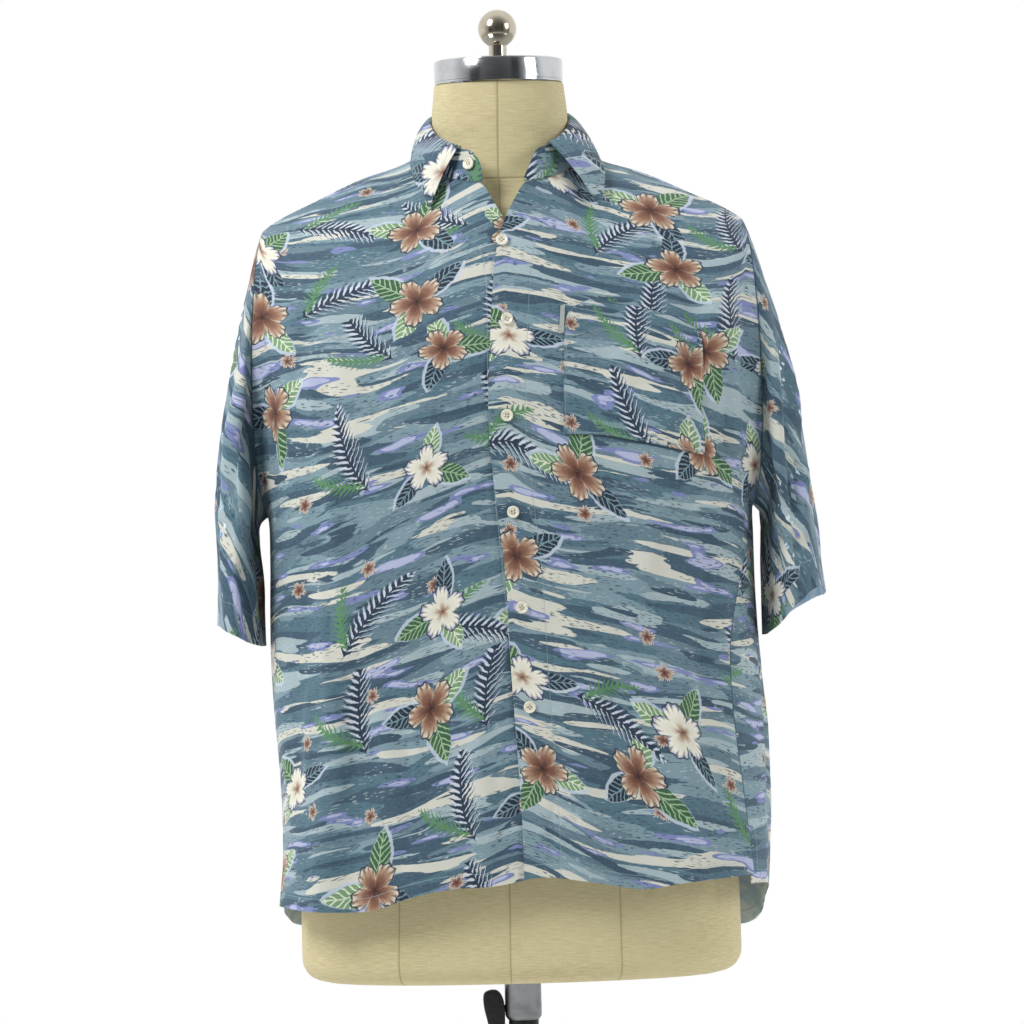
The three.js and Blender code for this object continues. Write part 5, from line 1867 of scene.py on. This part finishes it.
@dataclass(frozen=True)
class Studio:
    """White photo studio: pale floor, soft lights and the photograph's camera."""

    camera_place: tuple[float, float, float] = (1.85, -5500.0, 1063.0)
    lens: float = 193.36
    roll: float = 0.02688          # sine of the camera's roll
    floor_radius: float = 3.2      # metres
    floor_sides: int = 96
    floor_drop: float = -0.6       # mm, just under the base

    def floor(self) -> bpy.types.Object:
        """Builds the floor, which is not part of the object.

        Returns:
            The floor.
        """
        material = blank_material("studio_floor")
        x, y, _ = split(object_place(material.node_tree))
        scuff = noise(join(x * (1 / 400), y * (1 / 400)), 2)
        surface(material, blend("#eeeeec", "#f3f3f1", scuff), 0.8)
        angles = np.linspace(0, FULL_TURN, self.floor_sides, endpoint=False)
        radius = self.floor_radius / MM
        low = np.full(self.floor_sides, self.floor_drop)
        ring = np.stack([radius * np.cos(angles), radius * np.sin(angles), low], 1)
        return new_object("floor", ring, [list(range(self.floor_sides))], [material])

    def world(self) -> None:
        """Sets the white surround, darker behind the camera so that metal has contrast."""
        world = bpy.data.worlds.new("studio")
        bpy.context.scene.world = world
        world.use_nodes = True
        tree = world.node_tree
        tree.nodes.clear()
        direction = Signal(tree, add_node(tree, "ShaderNodeTexCoord").outputs["Generated"])
        x, y, z = split(direction)
        back = [(0.0, "#4c4d4e"), (0.2, "#8e8f90"), (0.42, "#e4e4e4"), (0.5, "#ffffff"), (1.0, "#ffffff")]
        shade = ramp(y * 0.5 + 0.5, back)
        around = (0 - y).angle(x)
        flags = around.near(0.55, 0.16).most(around.near(-0.75, 0.2)).most(around.near(1.25, 0.12))
        shade = blend(shade, "#30302f", flags * abs(z).rise(0.6, 0.35) * 0.85)
        shade = blend(shade, "#77746c", (0 - z).rise(0.12, 0.5) * 0.8)
        glow = add_node(tree, "ShaderNodeBackground", {"Color": shade, "Strength": 1.0})
        end = add_node(tree, "ShaderNodeOutputWorld")
        tree.links.new(glow.outputs[0], end.inputs[0])

    def light(self, name: str, place: tuple[float, float, float], size: float, power: float) -> None:
        """Adds a soft light that looks at the shirt.

        Args:
            name: its name.
            place: metres.
            size: metres across.
            power: watts.
        """
        lamp = bpy.data.lights.new(name, "AREA")
        lamp.shape = "RECTANGLE"
        lamp.size = size
        lamp.size_y = size * 1.4
        lamp.energy = power
        obj = bpy.data.objects.new(name, lamp)
        obj.location = place
        aim = Vector((0, 0, 1.1)) - Vector(place)
        obj.rotation_euler = aim.to_track_quat("-Z", "Y").to_euler()
        bpy.context.scene.collection.objects.link(obj)

    def camera(self) -> None:
        """Sets the camera where the photograph was taken from."""
        lens = bpy.data.cameras.new("camera")
        lens.lens = self.lens
        lens.sensor_width = 36
        obj = bpy.data.objects.new("camera", lens)
        upright = math.sqrt(1 - self.roll ** 2)
        obj.matrix_world = Matrix((
            (upright, self.roll, 0, self.camera_place[0] * MM),
            (0, 0, -1, self.camera_place[1] * MM),
            (-self.roll, upright, 0, self.camera_place[2] * MM),
            (0, 0, 0, 1),
        ))
        bpy.context.scene.collection.objects.link(obj)
        bpy.context.scene.camera = obj

    def build(self) -> None:
        """Builds the whole studio."""
        self.floor()
        self.world()
        bpy.context.scene.view_settings.view_transform = "Standard"
        self.light("key", (-2.1, -1.7, 3.3), 1.0, 86)
        self.light("fill", (2.9, -1.6, 2.3), 1.0, 34)
        self.camera()


# Putting it together


@dataclass(frozen=True)
class Cut:
    """The flat cut of a cloth piece, of what shows."""

    flat: tuple[float, float]      # metres
    held: str
    area: float                    # square metres
    rests_on: tuple[str, ...]


def place_piece(obj: bpy.types.Object, body: str, slot: Slot, *nodes: str) -> None:
    """Ties a finished piece to the part.

    Args:
        obj: the piece.
        body: the body it moves with.
        slot: not used.
        nodes: the CAD nodes it stands for.
    """
    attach(obj, body)
    if nodes:
        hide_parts(*nodes)
    LOG.info("%s: %d faces, rides on %s", obj.name, len(obj.data.polygons), body)


def build_shirt() -> None:
    """Builds the cloth and the buttons."""
    right = PrintedRayon().material()
    wrong = PrintedRayon().material(wrong_side=True)
    tape = WovenTape().material()
    for name, piece in SHIRT.items():
        label = name == "pocket_label"
        obj = piece.build(tape if label else right, tape if label else wrong)
        place_piece(obj, "form", Slot.LABEL if label else Slot.PRINT, name)
    buttons = place_buttons(SHIRT)
    for number, (pearl, thread) in enumerate(zip(buttons[::2], buttons[1::2]), 1):
        place_piece(pearl, "form", Slot.IVORY, f"button_{number}")
        place_piece(thread, "form", Slot.IVORY)


def build_form() -> None:
    """Builds the dress form and its stand."""
    form, stand = DressForm(), Stand()
    place_piece(form.torso(), "form", Slot.LINEN, "form_body")
    place_piece(form.cap(), "form", Slot.BRIGHT_STEEL, "neck_cap")
    place_piece(form.ball(), "form", Slot.BRIGHT_STEEL, "finial")
    place_piece(stand.tube(), "form", Slot.GREY_STEEL, "stand_sleeve")
    place_piece(stand.lever(), "lever", Slot.PLASTIC, "clamp_lever")
    place_piece(stand.pole(), "stand", Slot.BLACK_STEEL, "pole")
    place_piece(stand.base(), "stand", Slot.BLACK_STEEL, "base")


def main() -> None:
    """Builds the shirt, the form and the studio."""
    logging.basicConfig(level=logging.INFO, format="%(name)s: %(message)s")
    build_form()
    build_shirt()
    Studio().build()
    LOG.info("sizes written")


if __name__ == "__main__":
    main()
